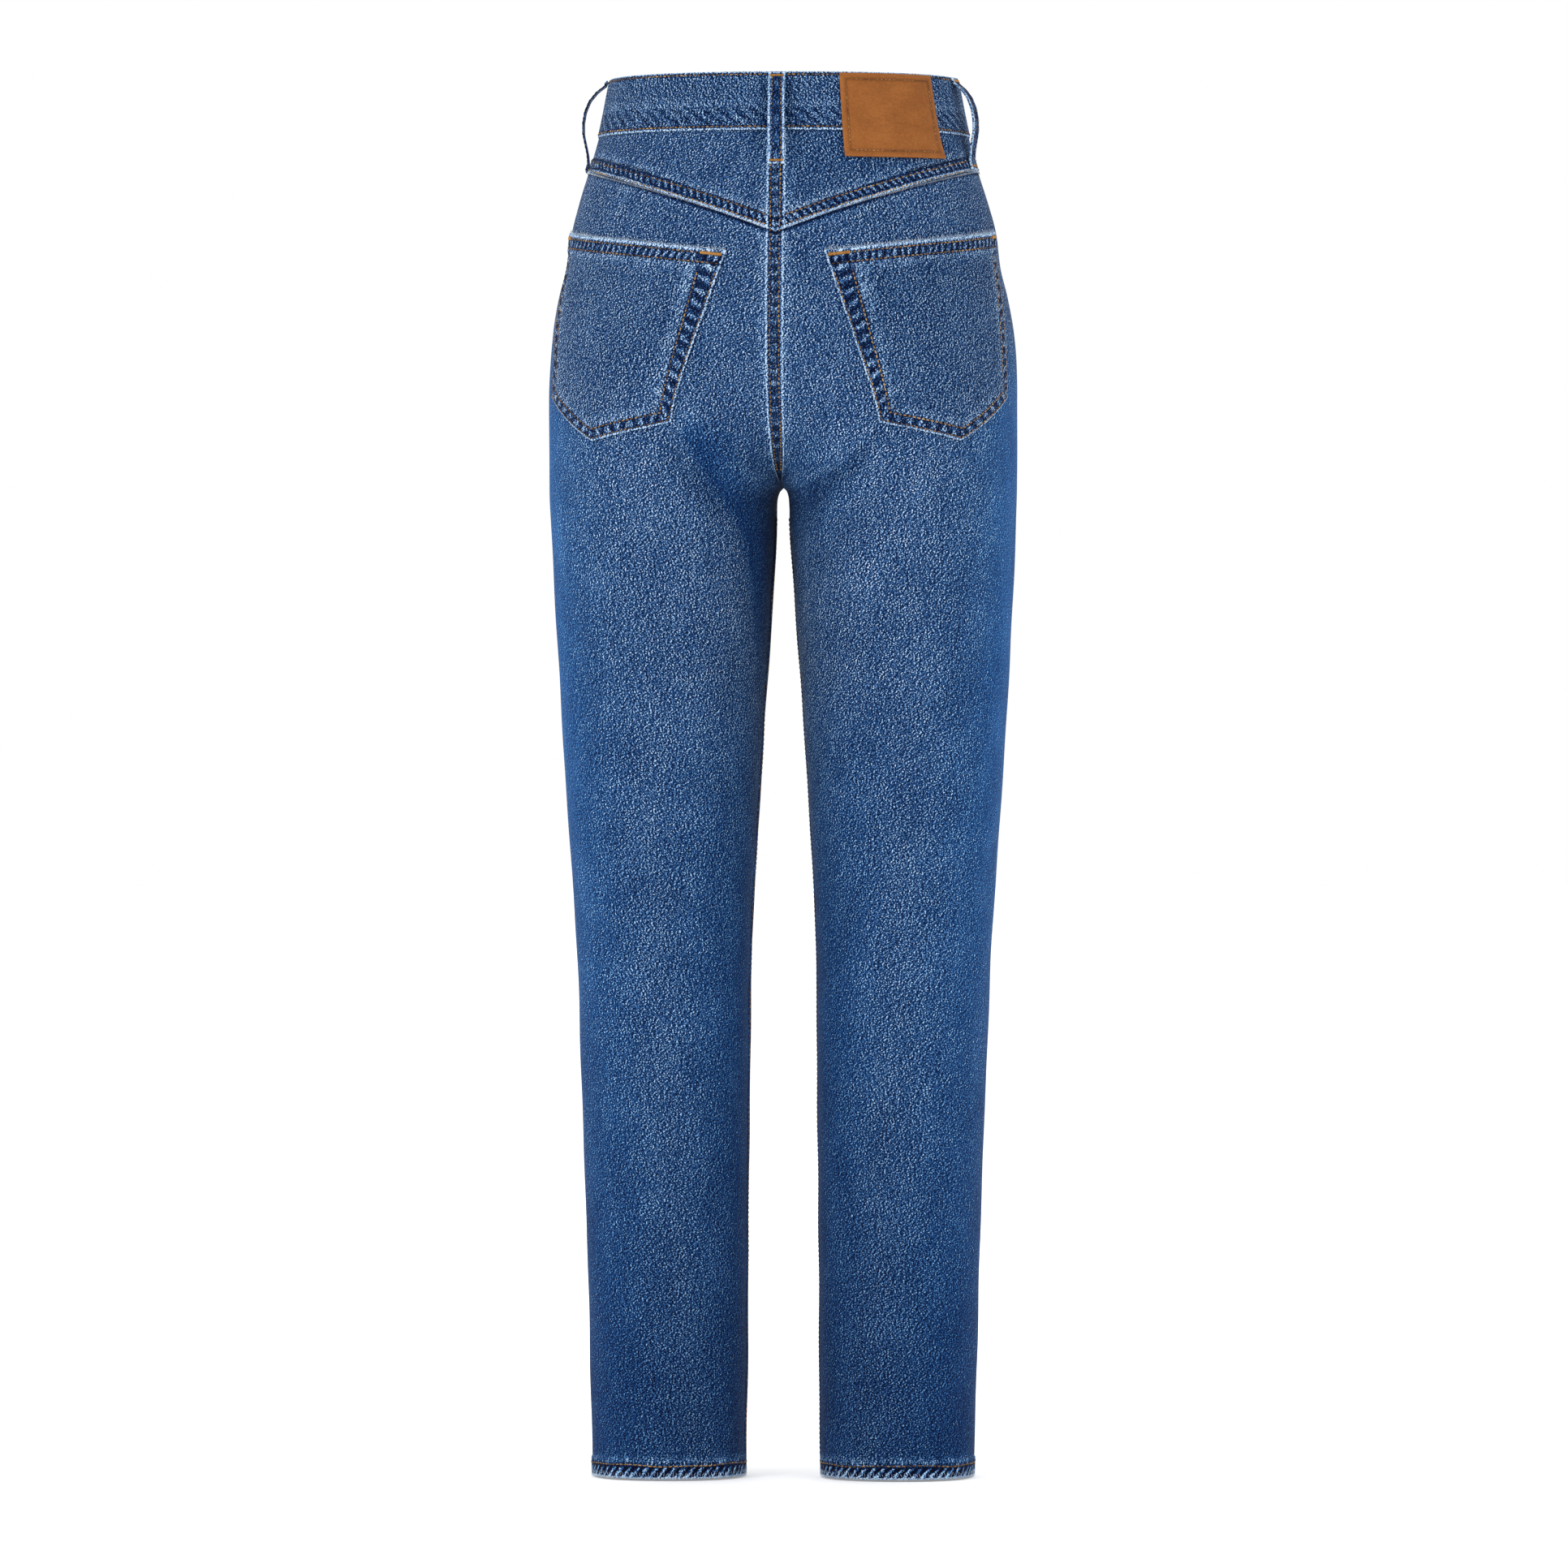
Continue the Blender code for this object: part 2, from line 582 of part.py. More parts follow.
def make_patch(name, columns=9):
    drops = (PATCH_TOP, 0.014, 0.028, BAND_HEIGHT - 0.002, BAND_HEIGHT + 0.002, PATCH_STEP_FOOT, PATCH_FOOT)
    over_band, over_yoke = BAND_THICK + LIFT, CLOTH + OVERLAY_LIFT + EXTRA_LIFT

    def place(i, j, lift):
        drop = drops[j]
        base = over_band + (over_yoke - over_band) * ramp(drop, PATCH_STEP_TOP, PATCH_STEP_FOOT)
        arc = PATCH_NEAR + (PATCH_FAR - PATCH_NEAR) * i / (columns - 1)
        arc *= back_end(drop) / back_end(BAND_HEIGHT)
        return cloth_point(RIGHT, drop, back_end(drop) - arc, base + lift)

    return make_wall(name, columns, len(drops), place, lambda i, j: PATCH_THICK, LEATHER)


def make_belt_loop(loop):
    rows, columns = len(LOOP_PROFILE), 3
    over_band = BAND_THICK + LIFT

    def place(i, j, lift):
        drop, share = LOOP_PROFILE[j]
        seat = over_band + (loop.foot - over_band) * ramp(drop, LOOP_SETTLE_START, LOOP_SETTLE_END)
        across = LOOP_WIDTH * (i / (columns - 1) - 0.5)
        scale = back_end(drop) / back_end(BAND_HEIGHT)
        along = front_end(drop) + loop.arc * scale if loop.front else back_end(drop) - loop.arc * scale
        side = loop.side
        if along + across > back_end(drop):
            across, side = 2 * (back_end(drop) - along) - across, -loop.side
        middle = bare_point(drop, along)
        out = outward(drop, along)
        round_way = np.array((-out[1], out[0], 0.0))
        round_way /= np.linalg.norm(round_way)
        hugging = bare_point(drop, min(along + across, back_end(drop)))
        hugging = hugging + outward(drop, min(along + across, back_end(drop))) * (seat + lift)
        flat = middle + round_way * across + out * (seat + lift)
        point = hugging * (1 - share) + flat * share + out * loop.bow * share
        return Vector((side * point[0], point[1], point[2]))

    return make_wall(loop.name, columns, rows, place, lambda i, j: LOOP_THICK, DENIM)


def make_button(name):
    bm = bmesh.new()
    profile = [bm.verts.new((radius, 0.0, height)) for radius, height in BUTTON_PROFILE]
    edges = [bm.edges.new(pair) for pair in zip(profile, profile[1:])]
    bmesh.ops.spin(
        bm, geom=profile + edges, cent=(0, 0, 0), axis=(0, 0, 1),
        angle=math.tau, steps=BUTTON_SIDES, use_merge=True,
    )
    bmesh.ops.remove_doubles(bm, verts=list(bm.verts), dist=1e-5)
    bmesh.ops.recalc_face_normals(bm, faces=list(bm.faces))
    obj = finish(bm, name, METAL)
    drop = BAND_HEIGHT / 2
    along = front_end(drop) + BUTTON_ARC
    out = Vector(outward(drop, along))
    obj.location = Vector(bare_point(drop, along)) + out * (BAND_THICK + LIFT)
    obj.rotation_euler = out.to_track_quat("Z", "Y").to_euler()
    return obj


clear_scene()
PARTS = bpy.data.collections.new("mom_jeans")
bpy.context.scene.collection.children.link(PARTS)
DENIM = make_material("blue_denim", (0.075, 0.150, 0.260), 0.85)
DENIM_DARK = make_material("inner_denim", (0.050, 0.105, 0.190), 0.85)
LEATHER = make_material("tan_leather", (0.330, 0.165, 0.075), 0.60)
METAL = make_material("aged_brass", (0.480, 0.330, 0.170), 0.35, 1.0)

make_waistband("waistband")
for side, word in ((LEFT, "left"), (RIGHT, "right")):
    make_yoke(side, f"yoke_{word}")
    make_back_panel(side, f"back_panel_{word}")
    make_front_panel(side, f"front_panel_{word}")
    make_back_pocket(side, f"back_pocket_{word}")
    make_pocket_facing(side, f"pocket_facing_{word}")
make_fly_shield("fly_shield")
for loop in LOOPS:
    make_belt_loop(loop)
make_patch("leather_patch")
make_button("waist_button")
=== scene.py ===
import math

import bmesh
import bpy
import numpy as np
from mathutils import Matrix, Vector


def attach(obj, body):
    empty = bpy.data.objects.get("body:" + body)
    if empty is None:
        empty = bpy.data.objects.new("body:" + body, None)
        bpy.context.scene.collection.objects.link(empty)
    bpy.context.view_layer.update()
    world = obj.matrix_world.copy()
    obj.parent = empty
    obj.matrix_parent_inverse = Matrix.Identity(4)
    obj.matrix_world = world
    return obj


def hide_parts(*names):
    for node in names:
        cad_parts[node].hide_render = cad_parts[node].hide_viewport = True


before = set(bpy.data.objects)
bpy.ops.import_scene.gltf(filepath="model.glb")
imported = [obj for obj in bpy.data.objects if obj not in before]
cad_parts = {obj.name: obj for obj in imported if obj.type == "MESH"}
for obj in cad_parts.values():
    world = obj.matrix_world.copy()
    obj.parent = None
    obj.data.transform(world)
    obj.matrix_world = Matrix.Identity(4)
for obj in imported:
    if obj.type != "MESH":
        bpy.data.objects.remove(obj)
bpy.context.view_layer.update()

# Studio. A wide white floor just under the hems, white all round, and three soft light panels:
# the main one high on the left of the camera, a weaker one on the right, and one for the front.
# The camera stands far off behind the wearer, at half the height of the jeans.
TOP = 0.02075
CAMERA_AWAY, CAMERA_TURN, CAMERA_DROP = 7.0, math.radians(3.0), 0.5023
PICTURE_WIDTH = 1932 * 0.00058

bpy.ops.object.select_all(action="DESELECT")
bpy.ops.object.camera_add(
    location=(-CAMERA_AWAY * math.sin(CAMERA_TURN), CAMERA_AWAY * math.cos(CAMERA_TURN), TOP - CAMERA_DROP),
    rotation=(math.radians(90), 0, math.radians(180) + CAMERA_TURN),
)
camera = bpy.context.object
camera.data.lens = 36 * CAMERA_AWAY / PICTURE_WIDTH
camera.data.clip_end = 200
bpy.context.scene.camera = camera

world = bpy.data.worlds.new("studio")
world.use_nodes = True
world.node_tree.nodes["Background"].inputs["Color"].default_value = (1.0, 1.0, 1.0, 1.0)
bpy.context.scene.world = world
bpy.context.scene.view_settings.view_transform = "Standard"

for place, aim, size, watts in (
    ((2.6, 3.6, 1.3), (0.0, 0.0, -0.35), 1.8, 70.0),
    ((-3.2, 3.4, 0.4), (0.0, 0.0, -0.45), 2.0, 24.0),
    ((0.6, -4.2, 1.0), (0.0, 0.0, -0.45), 2.4, 46.0),
):
    bpy.ops.object.light_add(type="AREA", location=place)
    panel = bpy.context.object
    panel.data.size = size
    panel.data.energy = watts
    panel.rotation_euler = (Vector(aim) - Vector(place)).to_track_quat("-Z", "Y").to_euler()

bpy.ops.mesh.primitive_circle_add(vertices=96, radius=40, fill_type="NGON", location=(0, 0, -0.9755))
floor = bpy.context.object
floor.name = "studio_floor"
bpy.ops.object.transform_apply()
paper = bpy.data.materials.new("studio_paper")
paper.use_nodes = True
for socket, value in (
    ("Base Color", (0.92, 0.92, 0.92, 1.0)), ("Roughness", 0.9),
    ("Emission Color", (1.0, 1.0, 1.0, 1.0)), ("Emission Strength", 0.25),
):
    paper.node_tree.nodes["Principled BSDF"].inputs[socket].default_value = value
floor.data.materials.append(paper)

# Back panels. Each is one piece of washed mid-blue twill, from the yoke seam to the hem, felled
# to its neighbour at the centre of the back and to the front panel at the inside leg.
# A drop is a depth below the waistband's top edge. An arc is a length round the cloth on one
# level, from the outer side: plus to the back, minus to the front.
CLOTH = 0.0012
BAND_HEIGHT = 0.0415
HEM_DROP = 0.9947
HEM_HEIGHT = 0.0122
CROTCH_DROP = 0.2894
SEAM_GAP = 0.0003
LIFT = 0.0003
OVERLAY_LIFT = 0.0010
FOLD_RAISE = 0.0008
FELL_WIDTH = 0.0058
FELL_SLOPE = 0.0016
OUTSEAM_FORWARD = 0.010
YOKE_CENTRE_DROP = 0.1145
BLEND_DROP = 0.200
ROUNDNESS = 2.2
STEP = 0.0008
LEFT, RIGHT = 1, -1
# Level by level, in tenths of a millimetre: drop, outer side, middle, inner side as a plain round,
# inner side as it is, softness of the join of the two halves, depth to the back and to the front.
BODY = np.array((
    (0, 1238, 6, -1226, -1226, 0, 940, 940),
    (415, 1322, 6, -1310, -1310, 0, 990, 980),
    (640, 1386, 12, -1362, -1362, 10, 1040, 1020),
    (870, 1459, 27, -1405, -1405, 30, 1100, 1060),
    (1100, 1517, 58, -1400, -1400, 60, 1160, 1090),
    (1335, 1546, 98, -1350, -1350, 100, 1210, 1110),
    (1565, 1604, 165, -1273, -1273, 140, 1250, 1120),
    (1800, 1644, 275, -1093, -1093, 180, 1275, 1110),
    (2030, 1662, 418, -825, -825, 180, 1280, 1090),
    (2260, 1668, 569, -530, -530, 150, 1255, 1060),
    (2460, 1668, 674, -320, -320, 110, 1220, 1040),
    (2650, 1668, 750, -168, -163, 60, 1180, 1020),
    (2775, 1668, 785, -86, -80, 30, 1152, 1007),
    (2848, 1668, 802, -45, -36, 10, 1135, 999),
    (2894, 1668, 811, -22, 0, 0, 1124, 994),
    (2930, 1668, 817, -7, 36, 0, 1116, 990),
    (2990, 1667, 826, 14, 54, 0, 1103, 985),
    (3130, 1662, 843, 45, 63, 0, 1074, 974),
    (3420, 1650, 862, 80, 80, 0, 1018, 958),
    (4000, 1621, 872, 119, 119, 0, 925, 928),
    (4580, 1586, 874, 160, 160, 0, 850, 890),
    (5160, 1552, 874, 195, 195, 0, 790, 840),
    (5740, 1511, 871, 230, 230, 0, 745, 780),
    (6320, 1476, 865, 253, 253, 0, 720, 715),
    (6900, 1453, 856, 259, 259, 0, 710, 655),
    (8060, 1412, 841, 270, 270, 0, 690, 565),
    (9220, 1378, 827, 276, 276, 0, 670, 515),
    (9947, 1360, 823, 285, 285, 0, 660, 505),
)) / 10000
STATIONS = 361


def smooth_columns(at):
    """Every column of BODY at these drops, along curves that never overshoot its rows."""
    levels, values = BODY[:, 0], BODY[:, 1:]
    width = np.diff(levels)[:, None]
    rise = np.diff(values, axis=0) / width
    slope = np.zeros_like(values)
    slope[0], slope[-1] = rise[0], rise[-1]
    before, after = 2 * width[1:] + width[:-1], width[1:] + 2 * width[:-1]
    steady = rise[:-1] * rise[1:] > 0
    first, second = np.where(steady, rise[:-1], 1.0), np.where(steady, rise[1:], 1.0)
    slope[1:-1] = np.where(steady, (before + after) / (before / first + after / second), 0.0)
    i = np.clip(np.searchsorted(levels, at) - 1, 0, len(width) - 1)
    w = width[i]
    t = ((at - levels[i]) / w[:, 0])[:, None]
    start = (1 + 2 * t) * (1 - t) ** 2 * values[i] + t * (1 - t) ** 2 * w * slope[i]
    return start + t * t * (3 - 2 * t) * values[i + 1] + t * t * (t - 1) * w * slope[i + 1]


def cloth_rings(levels):
    """x and y at even lengths round the left half on each level, and the half's length."""
    rings = np.empty((len(levels), STATIONS, 2))
    halves = np.empty(len(levels))
    shares = np.linspace(0, 1, 161)
    for n, (drop, row) in enumerate(zip(levels, smooth_columns(levels))):
        outer, middle, full, inner, bridge, back, front = row
        outer, back, front = outer - CLOTH, back - CLOTH, front - CLOTH

        def inner_side(share):
            return middle + (full - middle) * share + (inner - full) * share**6

        end = math.pi
        in_trunk = drop < CROTCH_DROP
        if in_trunk:
            last = np.interp(-bridge, -inner_side(shares), shares)
            end -= math.acos(last ** (ROUNDNESS / 2))
        turn = np.linspace(-end, end, 641)
        cos, sin = np.cos(turn), np.sin(turn)
        share = np.sign(cos) * np.abs(cos) ** (2 / ROUNDNESS)
        x = np.where(share > 0, middle + (outer - middle) * share, inner_side(-share))
        if in_trunk:
            x = np.sqrt(np.maximum(x * x - bridge**2, 0)) * outer / math.sqrt(outer**2 - bridge**2)
        y = (back - front) / 2 + (back + front) / 2 * np.sign(sin) * np.abs(sin) ** (2 / ROUNDNESS)
        arc = np.concatenate([[0], np.cumsum(np.hypot(np.diff(x), np.diff(y)))])
        even = np.linspace(0, arc[-1], STATIONS)
        rings[n, :, 0], rings[n, :, 1] = np.interp(even, arc, x), np.interp(even, arc, y)
        halves[n] = arc[-1] / 2
    return rings, halves


LEVELS = np.unique(np.concatenate([
    np.arange(0, 0.270, 0.0015), np.arange(0.270, 0.2865, 0.0003), np.arange(0.2865, 0.2930, 0.0001),
    np.arange(0.2930, 0.310, 0.0004), np.arange(0.310, HEM_DROP, 0.002),
    [CROTCH_DROP - 1e-7, CROTCH_DROP, HEM_DROP],
]))
RINGS, HALVES = cloth_rings(LEVELS)


def between_levels(drop):
    i = np.clip(np.searchsorted(LEVELS, drop, side="right") - 1, 0, len(LEVELS) - 2)
    return i, (drop - LEVELS[i]) / (LEVELS[i + 1] - LEVELS[i])


def half_round(drop):
    """Length from the outer side to the centre of the back, or to the inside leg."""
    i, t = between_levels(drop)
    return HALVES[i] * (1 - t) + HALVES[i + 1] * t


def bare(drop, arc):
    """The cloth's inside on the left half, with no folds."""
    i, t = between_levels(drop)
    along = np.clip(arc / (HALVES[i] * (1 - t) + HALVES[i + 1] * t), -1, 1)
    along = (along + 1) / 2 * (STATIONS - 1)
    j = np.clip(along.astype(int), 0, STATIONS - 2)
    t, f = t[..., None], (along - j)[..., None]
    upper = RINGS[i, j] * (1 - f) + RINGS[i, j + 1] * f
    lower = RINGS[i + 1, j] * (1 - f) + RINGS[i + 1, j + 1] * f
    return np.concatenate([upper * (1 - t) + lower * t, (TOP - drop)[..., None]], axis=-1)


def outward(drop, arc):
    half = half_round(drop)
    along = bare(drop, np.minimum(arc + STEP, half)) - bare(drop, np.maximum(arc - STEP, -half))
    above, below = np.maximum(drop - STEP, 0.0), np.minimum(drop + STEP, HEM_DROP)
    above = np.where(np.abs(arc) > half_round(above), drop, above)
    normal = np.cross(bare(below, arc) - bare(above, arc), along)
    return normal / np.linalg.norm(normal, axis=-1, keepdims=True)


# Folds and creases, in tenths of a millimetre: three points by arc and drop, half width, and
# depth, minus for a ridge. The deep ones are the solids' own, under the seat, behind the knees and
# in the front of the hips.
CREASES = (
    (LEFT, 1640, 2460, 1685, 2795, 2150, 3230, 150, 28),
    (RIGHT, 1780, 2550, 1860, 2825, 2340, 2840, 120, 24),
    (RIGHT, 1960, 2840, 2150, 3060, 2470, 3080, 110, 18),
    (RIGHT, 1480, 2620, 1760, 3060, 2120, 3450, 140, 12),
    (LEFT, 780, 5200, 940, 5520, 1080, 5850, 200, 14),
    (RIGHT, 1780, 5530, 1630, 5880, 1440, 6220, 180, 13),
    (LEFT, -2220, 2620, -1680, 2480, -1050, 2220, 110, 24),
    (RIGHT, -2190, 2580, -1630, 2460, -1100, 2260, 110, 22),
    (LEFT, -1760, 6000, -1240, 6120, -660, 6000, 170, 16),
    (RIGHT, -1640, 6120, -1120, 6220, -600, 6060, 170, 15),
    (LEFT, 1960, 2960, 2220, 3000, 2620, 2970, 70, 10),
    (LEFT, 1860, 2680, 2060, 2830, 2460, 2860, 60, -7),
    (LEFT, 1400, 2680, 1600, 3120, 1920, 3560, 100, 7),
    (RIGHT, 2040, 2680, 2240, 2770, 2520, 2790, 50, -8),
    (RIGHT, 1960, 3000, 2260, 3220, 2560, 3300, 80, 7),
    (RIGHT, 1100, 2680, 1200, 3000, 1460, 3450, 120, 6),
    (LEFT, 560, 3450, 600, 4300, 740, 5050, 200, 9),
    (RIGHT, 520, 3300, 580, 4100, 660, 4900, 190, 8),
    (LEFT, 1120, 5660, 1340, 5840, 1640, 5880, 100, 6),
    (LEFT, 600, 6000, 900, 6220, 1320, 6280, 120, 5),
    (RIGHT, 880, 5600, 1160, 5720, 1480, 5700, 110, 6),
    (RIGHT, 600, 6420, 940, 6550, 1360, 6480, 130, 5),
    (LEFT, 300, 7000, 520, 7900, 600, 8800, 160, 6),
    (RIGHT, 1200, 7000, 1120, 7900, 1180, 9000, 160, 6),
    (LEFT, -2320, 2460, -1900, 2320, -1400, 2060, 70, 8),
    (LEFT, -2400, 2760, -1960, 2740, -1360, 2620, 80, 9),
    (RIGHT, -2300, 2420, -1920, 2290, -1460, 2060, 70, 8),
    (RIGHT, -2360, 2800, -1860, 2760, -1320, 2660, 80, 8),
    (LEFT, -1500, 5660, -1080, 5740, -600, 5660, 120, 7),
    (RIGHT, -1600, 6500, -1180, 6600, -660, 6520, 120, 7),
    (LEFT, -900, 7000, -980, 8000, -940, 9000, 200, 6),
    (RIGHT, -960, 6900, -1040, 7800, -980, 8800, 190, 6),
)


def crease_depth(side, drop, arc):
    """How far the cloth dips inwards in its creases, and in the slight unevenness of all cloth."""
    depth = np.zeros_like(drop)
    t = np.linspace(0, 1, 49)[:, None]
    for half, *sizes in CREASES:
        if half != side:
            continue
        a0, d0, a1, d1, a2, d2, width, deep = (size / 10000 for size in sizes)
        line = (1 - t) ** 2 * (a0, d0) + 2 * t * (1 - t) * np.array((a1, d1)) + t * t * np.array((a2, d2))
        near = (np.abs(drop - (d0 + d2) / 2) < abs(d2 - d0) / 2 + 4 * width)
        if not near.any():
            continue
        away = np.hypot(line[:, 0] - arc[near][:, None], line[:, 1] - drop[near][:, None])
        nearest = away.argmin(axis=1)
        away = away[np.arange(len(away)), nearest]
        fade = np.sin(math.pi * (nearest + 4) / (len(line) + 7))
        depth[near] += deep * fade * np.exp(-((away / width) ** 2))
    wave = np.sin(math.tau * (9.1 * arc + 4.3 * drop) + 1.3 + 2 * side)
    wave = wave + np.sin(math.tau * (-5.7 * arc + 12.9 * drop) + 0.4 - side)
    wave = wave + 0.7 * np.sin(math.tau * (17.3 * arc - 8.9 * drop) + 2.2 + 3 * side)
    return depth + 0.00016 * wave


def cloth_place(side, drop, arc, lift):
    """Points this far outside the inner face of the cloth, on either half."""
    drop, arc = np.broadcast_arrays(np.asarray(drop, float), np.asarray(arc, float))
    rise = np.asarray(lift, float) - crease_depth(side, drop, arc)
    points = bare(drop, arc) + outward(drop, arc) * rise[..., None]
    points[..., 0] = side * np.maximum(points[..., 0], SEAM_GAP / 2)
    return points


def ramp(value, start, end):
    return np.clip((np.asarray(value, float) - start) / (end - start), 0.0, 1.0)


def bell(value, middle, width):
    return np.exp(-(((value - middle) / width) ** 2))


# The edge of the painted shadow beside the seat on the left, and the taut line under it on the
# right, painted as a highlight over a painted shadow.
SEAT_FOLD = np.array((
    (0.245, 0.165), (0.262, 0.171), (0.282, 0.182), (0.301, 0.195),
    (0.318, 0.208), (0.338, 0.215), (0.361, 0.218), (0.430, 0.222),
))
PULL_LINE = np.array((
    (0.165, 0.245), (0.169, 0.253), (0.178, 0.263), (0.189, 0.274),
    (0.205, 0.282), (0.222, 0.287), (0.244, 0.290),
))


def wash_and_painted_light(side, drop, arc):
    """How light the cloth is, 1 on the back of the thigh, and how smooth its grain looks. It is paler in
    strips along the outer sides and on the fronts of the thighs and knees, and darker towards the hem.
    Painted shade and light are mixed in: painted shade on the inner sides of the legs, at the crotch
    and on the right half, the painted shadow beside the seat on the left, a painted highlight over a
    painted shadow on the right, and painted shade and light on the sides of the creases. The grain
    is smoother in some of the painted shade.
    """
    strip = bell(arc, 0.022, 0.042) * ramp(drop, 0.17, 0.24) * (1 - 0.85 * ramp(drop, 0.46, 0.70))
    # painted shade: the right half gets less light, so its strip is dimmer
    strip = strip * (1.0 if side == LEFT else 0.84)
    # painted shade on the inner sides of the legs, near the crotch and lower down, where they face each other
    inner = ramp(np.abs(arc), 0.17, 0.27) * bell(drop, 0.300, 0.050)
    inseam = ramp(np.abs(arc), 0.10, 0.20) * ramp(drop, 0.33, 0.62)
    tone = 0.94 - 0.45 * ramp(drop, 0.66, 0.95) - 0.01 * ramp(drop, 0.40, 0.60)
    tone = tone * (1 + 0.58 * strip) * (1 - 0.30 * inner) * (1 - 0.22 * inseam)
    # painted shade at the crotch, where the centre seams turn under between the legs
    from_seam = half_round(drop) - np.abs(arc)
    crotch = (1 - ramp(from_seam, 0.005, 0.016)) * ramp(drop, 0.258, 0.286) * (1 - ramp(drop, 0.300, 0.380))
    tone = tone * (1 - 0.80 * crotch)
    tone = tone * (1 + 0.16 * bell(drop, 0.290, 0.060) * ramp(arc, 0.02, 0.06) * (1 - inner))
    smooth = bell(arc, 0.024, 0.056) * ramp(drop, 0.17, 0.24) * (1 - 0.35 * ramp(drop, 0.46, 0.70))
    smooth = np.maximum(smooth, 0.85 * ramp(np.abs(arc), 0.10, 0.19) * ramp(drop, 0.42, 0.66))
    if side == LEFT:
        # painted shadow beside the seat on the left, where the cloth turns in; the grain is smoother in it
        beyond = arc - np.interp(drop, SEAT_FOLD[:, 0], SEAT_FOLD[:, 1])
        lifting = ramp(beyond, 0.006, 0.036) * (1 - ramp(drop, 0.280, 0.325))
        shadow = ramp(beyond, -0.003, 0.005) * (1 - 0.75 * lifting)
        shadow = shadow * ramp(drop, 0.240, 0.265) * (1 - ramp(drop, 0.350, 0.480))
        tone = tone * (1 - 0.48 * shadow)
        smooth = np.maximum(smooth, 0.60 * shadow)
    else:
        # painted highlight along the taut line on the right, and painted shadow just under it
        below = drop - np.interp(arc, PULL_LINE[:, 0], PULL_LINE[:, 1])
        there = ramp(arc, 0.158, 0.172)
        tone = tone * (1 + 0.42 * bell(below, 0.0, 0.0028) * there)
        tone = tone * (1 - 0.36 * bell(below, 0.014, 0.011) * there)
        # painted shade on the right half near the top, and smoother grain in the painted shade of the inner
        # thigh
        tone = tone * (1 - 0.12 * (1 - ramp(drop, 0.070, 0.130)))
        smooth = np.maximum(smooth, 0.50 * inner)
    front = ramp(-arc, 0.06, 0.10)
    thigh = bell(-arc, 0.125, 0.055) * bell(drop, 0.42, 0.16) * front
    knee = bell(-arc, 0.115, 0.045) * bell(drop, 0.60, 0.07) * front
    tone = tone * (1 + 0.30 * thigh + 0.26 * knee)
    # painted shade in the creases, and painted light and shade on their two sides by how they slope
    tilt = crease_depth(side, drop - 0.007, arc) - crease_depth(side, drop + 0.007, arc)
    shade = 90 * crease_depth(side, drop, arc) + 130 * tilt
    return tone * (1 - np.clip(shade, -0.35, 0.45)), smooth


class Dye:
    """A value in a material. Sums written on it become Math nodes, and node() adds any other."""

    def __init__(self, tree, socket=None):
        self.tree, self.socket = tree, socket

    def node(self, kind, settings=None, inputs=None, output=0):
        made = self.tree.nodes.new("ShaderNode" + kind)
        for key, value in (settings or {}).items():
            if key == "stops":
                elements = made.color_ramp.elements
                elements.remove(elements[-1])
                elements[0].position = value[0][0]
                elements[0].color = (*value[0][1], 1.0)
                for at, color in value[1:]:
                    elements.new(at).color = (*color, 1.0)
            else:
                setattr(made, key, value)
        for key, value in (inputs or {}).items():
            if isinstance(value, Dye):
                self.tree.links.new(value.socket, made.inputs[key])
            else:
                made.inputs[key].default_value = value
        return Dye(self.tree, made.outputs[output])

    def maths(self, operation, first, second=0.0):
        return self.node("Math", {"operation": operation}, {0: first, 1: second})

    def __add__(self, other):
        return self.maths("ADD", self, other)

    def __radd__(self, other):
        return self.maths("ADD", other, self)

    def __sub__(self, other):
        return self.maths("SUBTRACT", self, other)

    def __rsub__(self, other):
        return self.maths("SUBTRACT", other, self)

    def __mul__(self, other):
        return self.maths("MULTIPLY", self, other)

    def __rmul__(self, other):
        return self.maths("MULTIPLY", other, self)

    def bell(self, middle, width):
        away = (self - middle) * (1 / width)
        return self.maths("EXPONENT", away * away * -1.0)

    def wave(self, pitch):
        """0 to 1 and back over each pitch."""
        return self.maths("COSINE", self * (math.tau / pitch)) * 0.5 + 0.5

    def slope(self, low, high, start=0.0, end=1.0):
        inputs = {0: self, 1: low, 2: high, 3: start, 4: end}
        return self.node("MapRange", {"interpolation_type": "SMOOTHSTEP"}, inputs)

    def speckle(self, across, wide, long, detail, seed):
        """Uneven spots of about this width and length, the length along this value."""
        place = self.node("CombineXYZ", {}, {0: across * (1 / wide), 1: self * (1 / long), 2: seed})
        return self.node("TexNoise", {}, {"Vector": place, "Scale": 1.0, "Detail": detail, "Roughness": 0.6})

    def threads(self, across, length, wide, seed):
        """Short lengths of yarn side by side, each of its own tone."""
        line = self.maths("FLOOR", across * (1 / wide))
        shift = line.node("TexWhiteNoise", {"noise_dimensions": "1D"}, {"W": line + seed})
        piece = self.maths("FLOOR", self * (1 / length) + shift * 3.0)
        place = self.node("CombineXYZ", {}, {0: line, 1: piece, 2: seed})
        return self.node("TexWhiteNoise", {"noise_dimensions": "3D"}, {"Vector": place})

    def grainy(self, across, length, wide, seed):
        """The same lengths of yarn, each beside one of another tone."""
        return self.threads(across, length, wide, seed) - self.threads(across + 0.00116, length, wide, seed)

    def colors(self, *stops):
        return self.node("ValToRGB", {"stops": stops}, {0: self})

    def spots(self, scale, detail):
        """Noise by the place of each point on the piece."""
        place = self.node("TexCoord", {}, {}, 3)
        return self.node("TexNoise", {}, {"Vector": place, "Scale": scale, "Detail": detail})


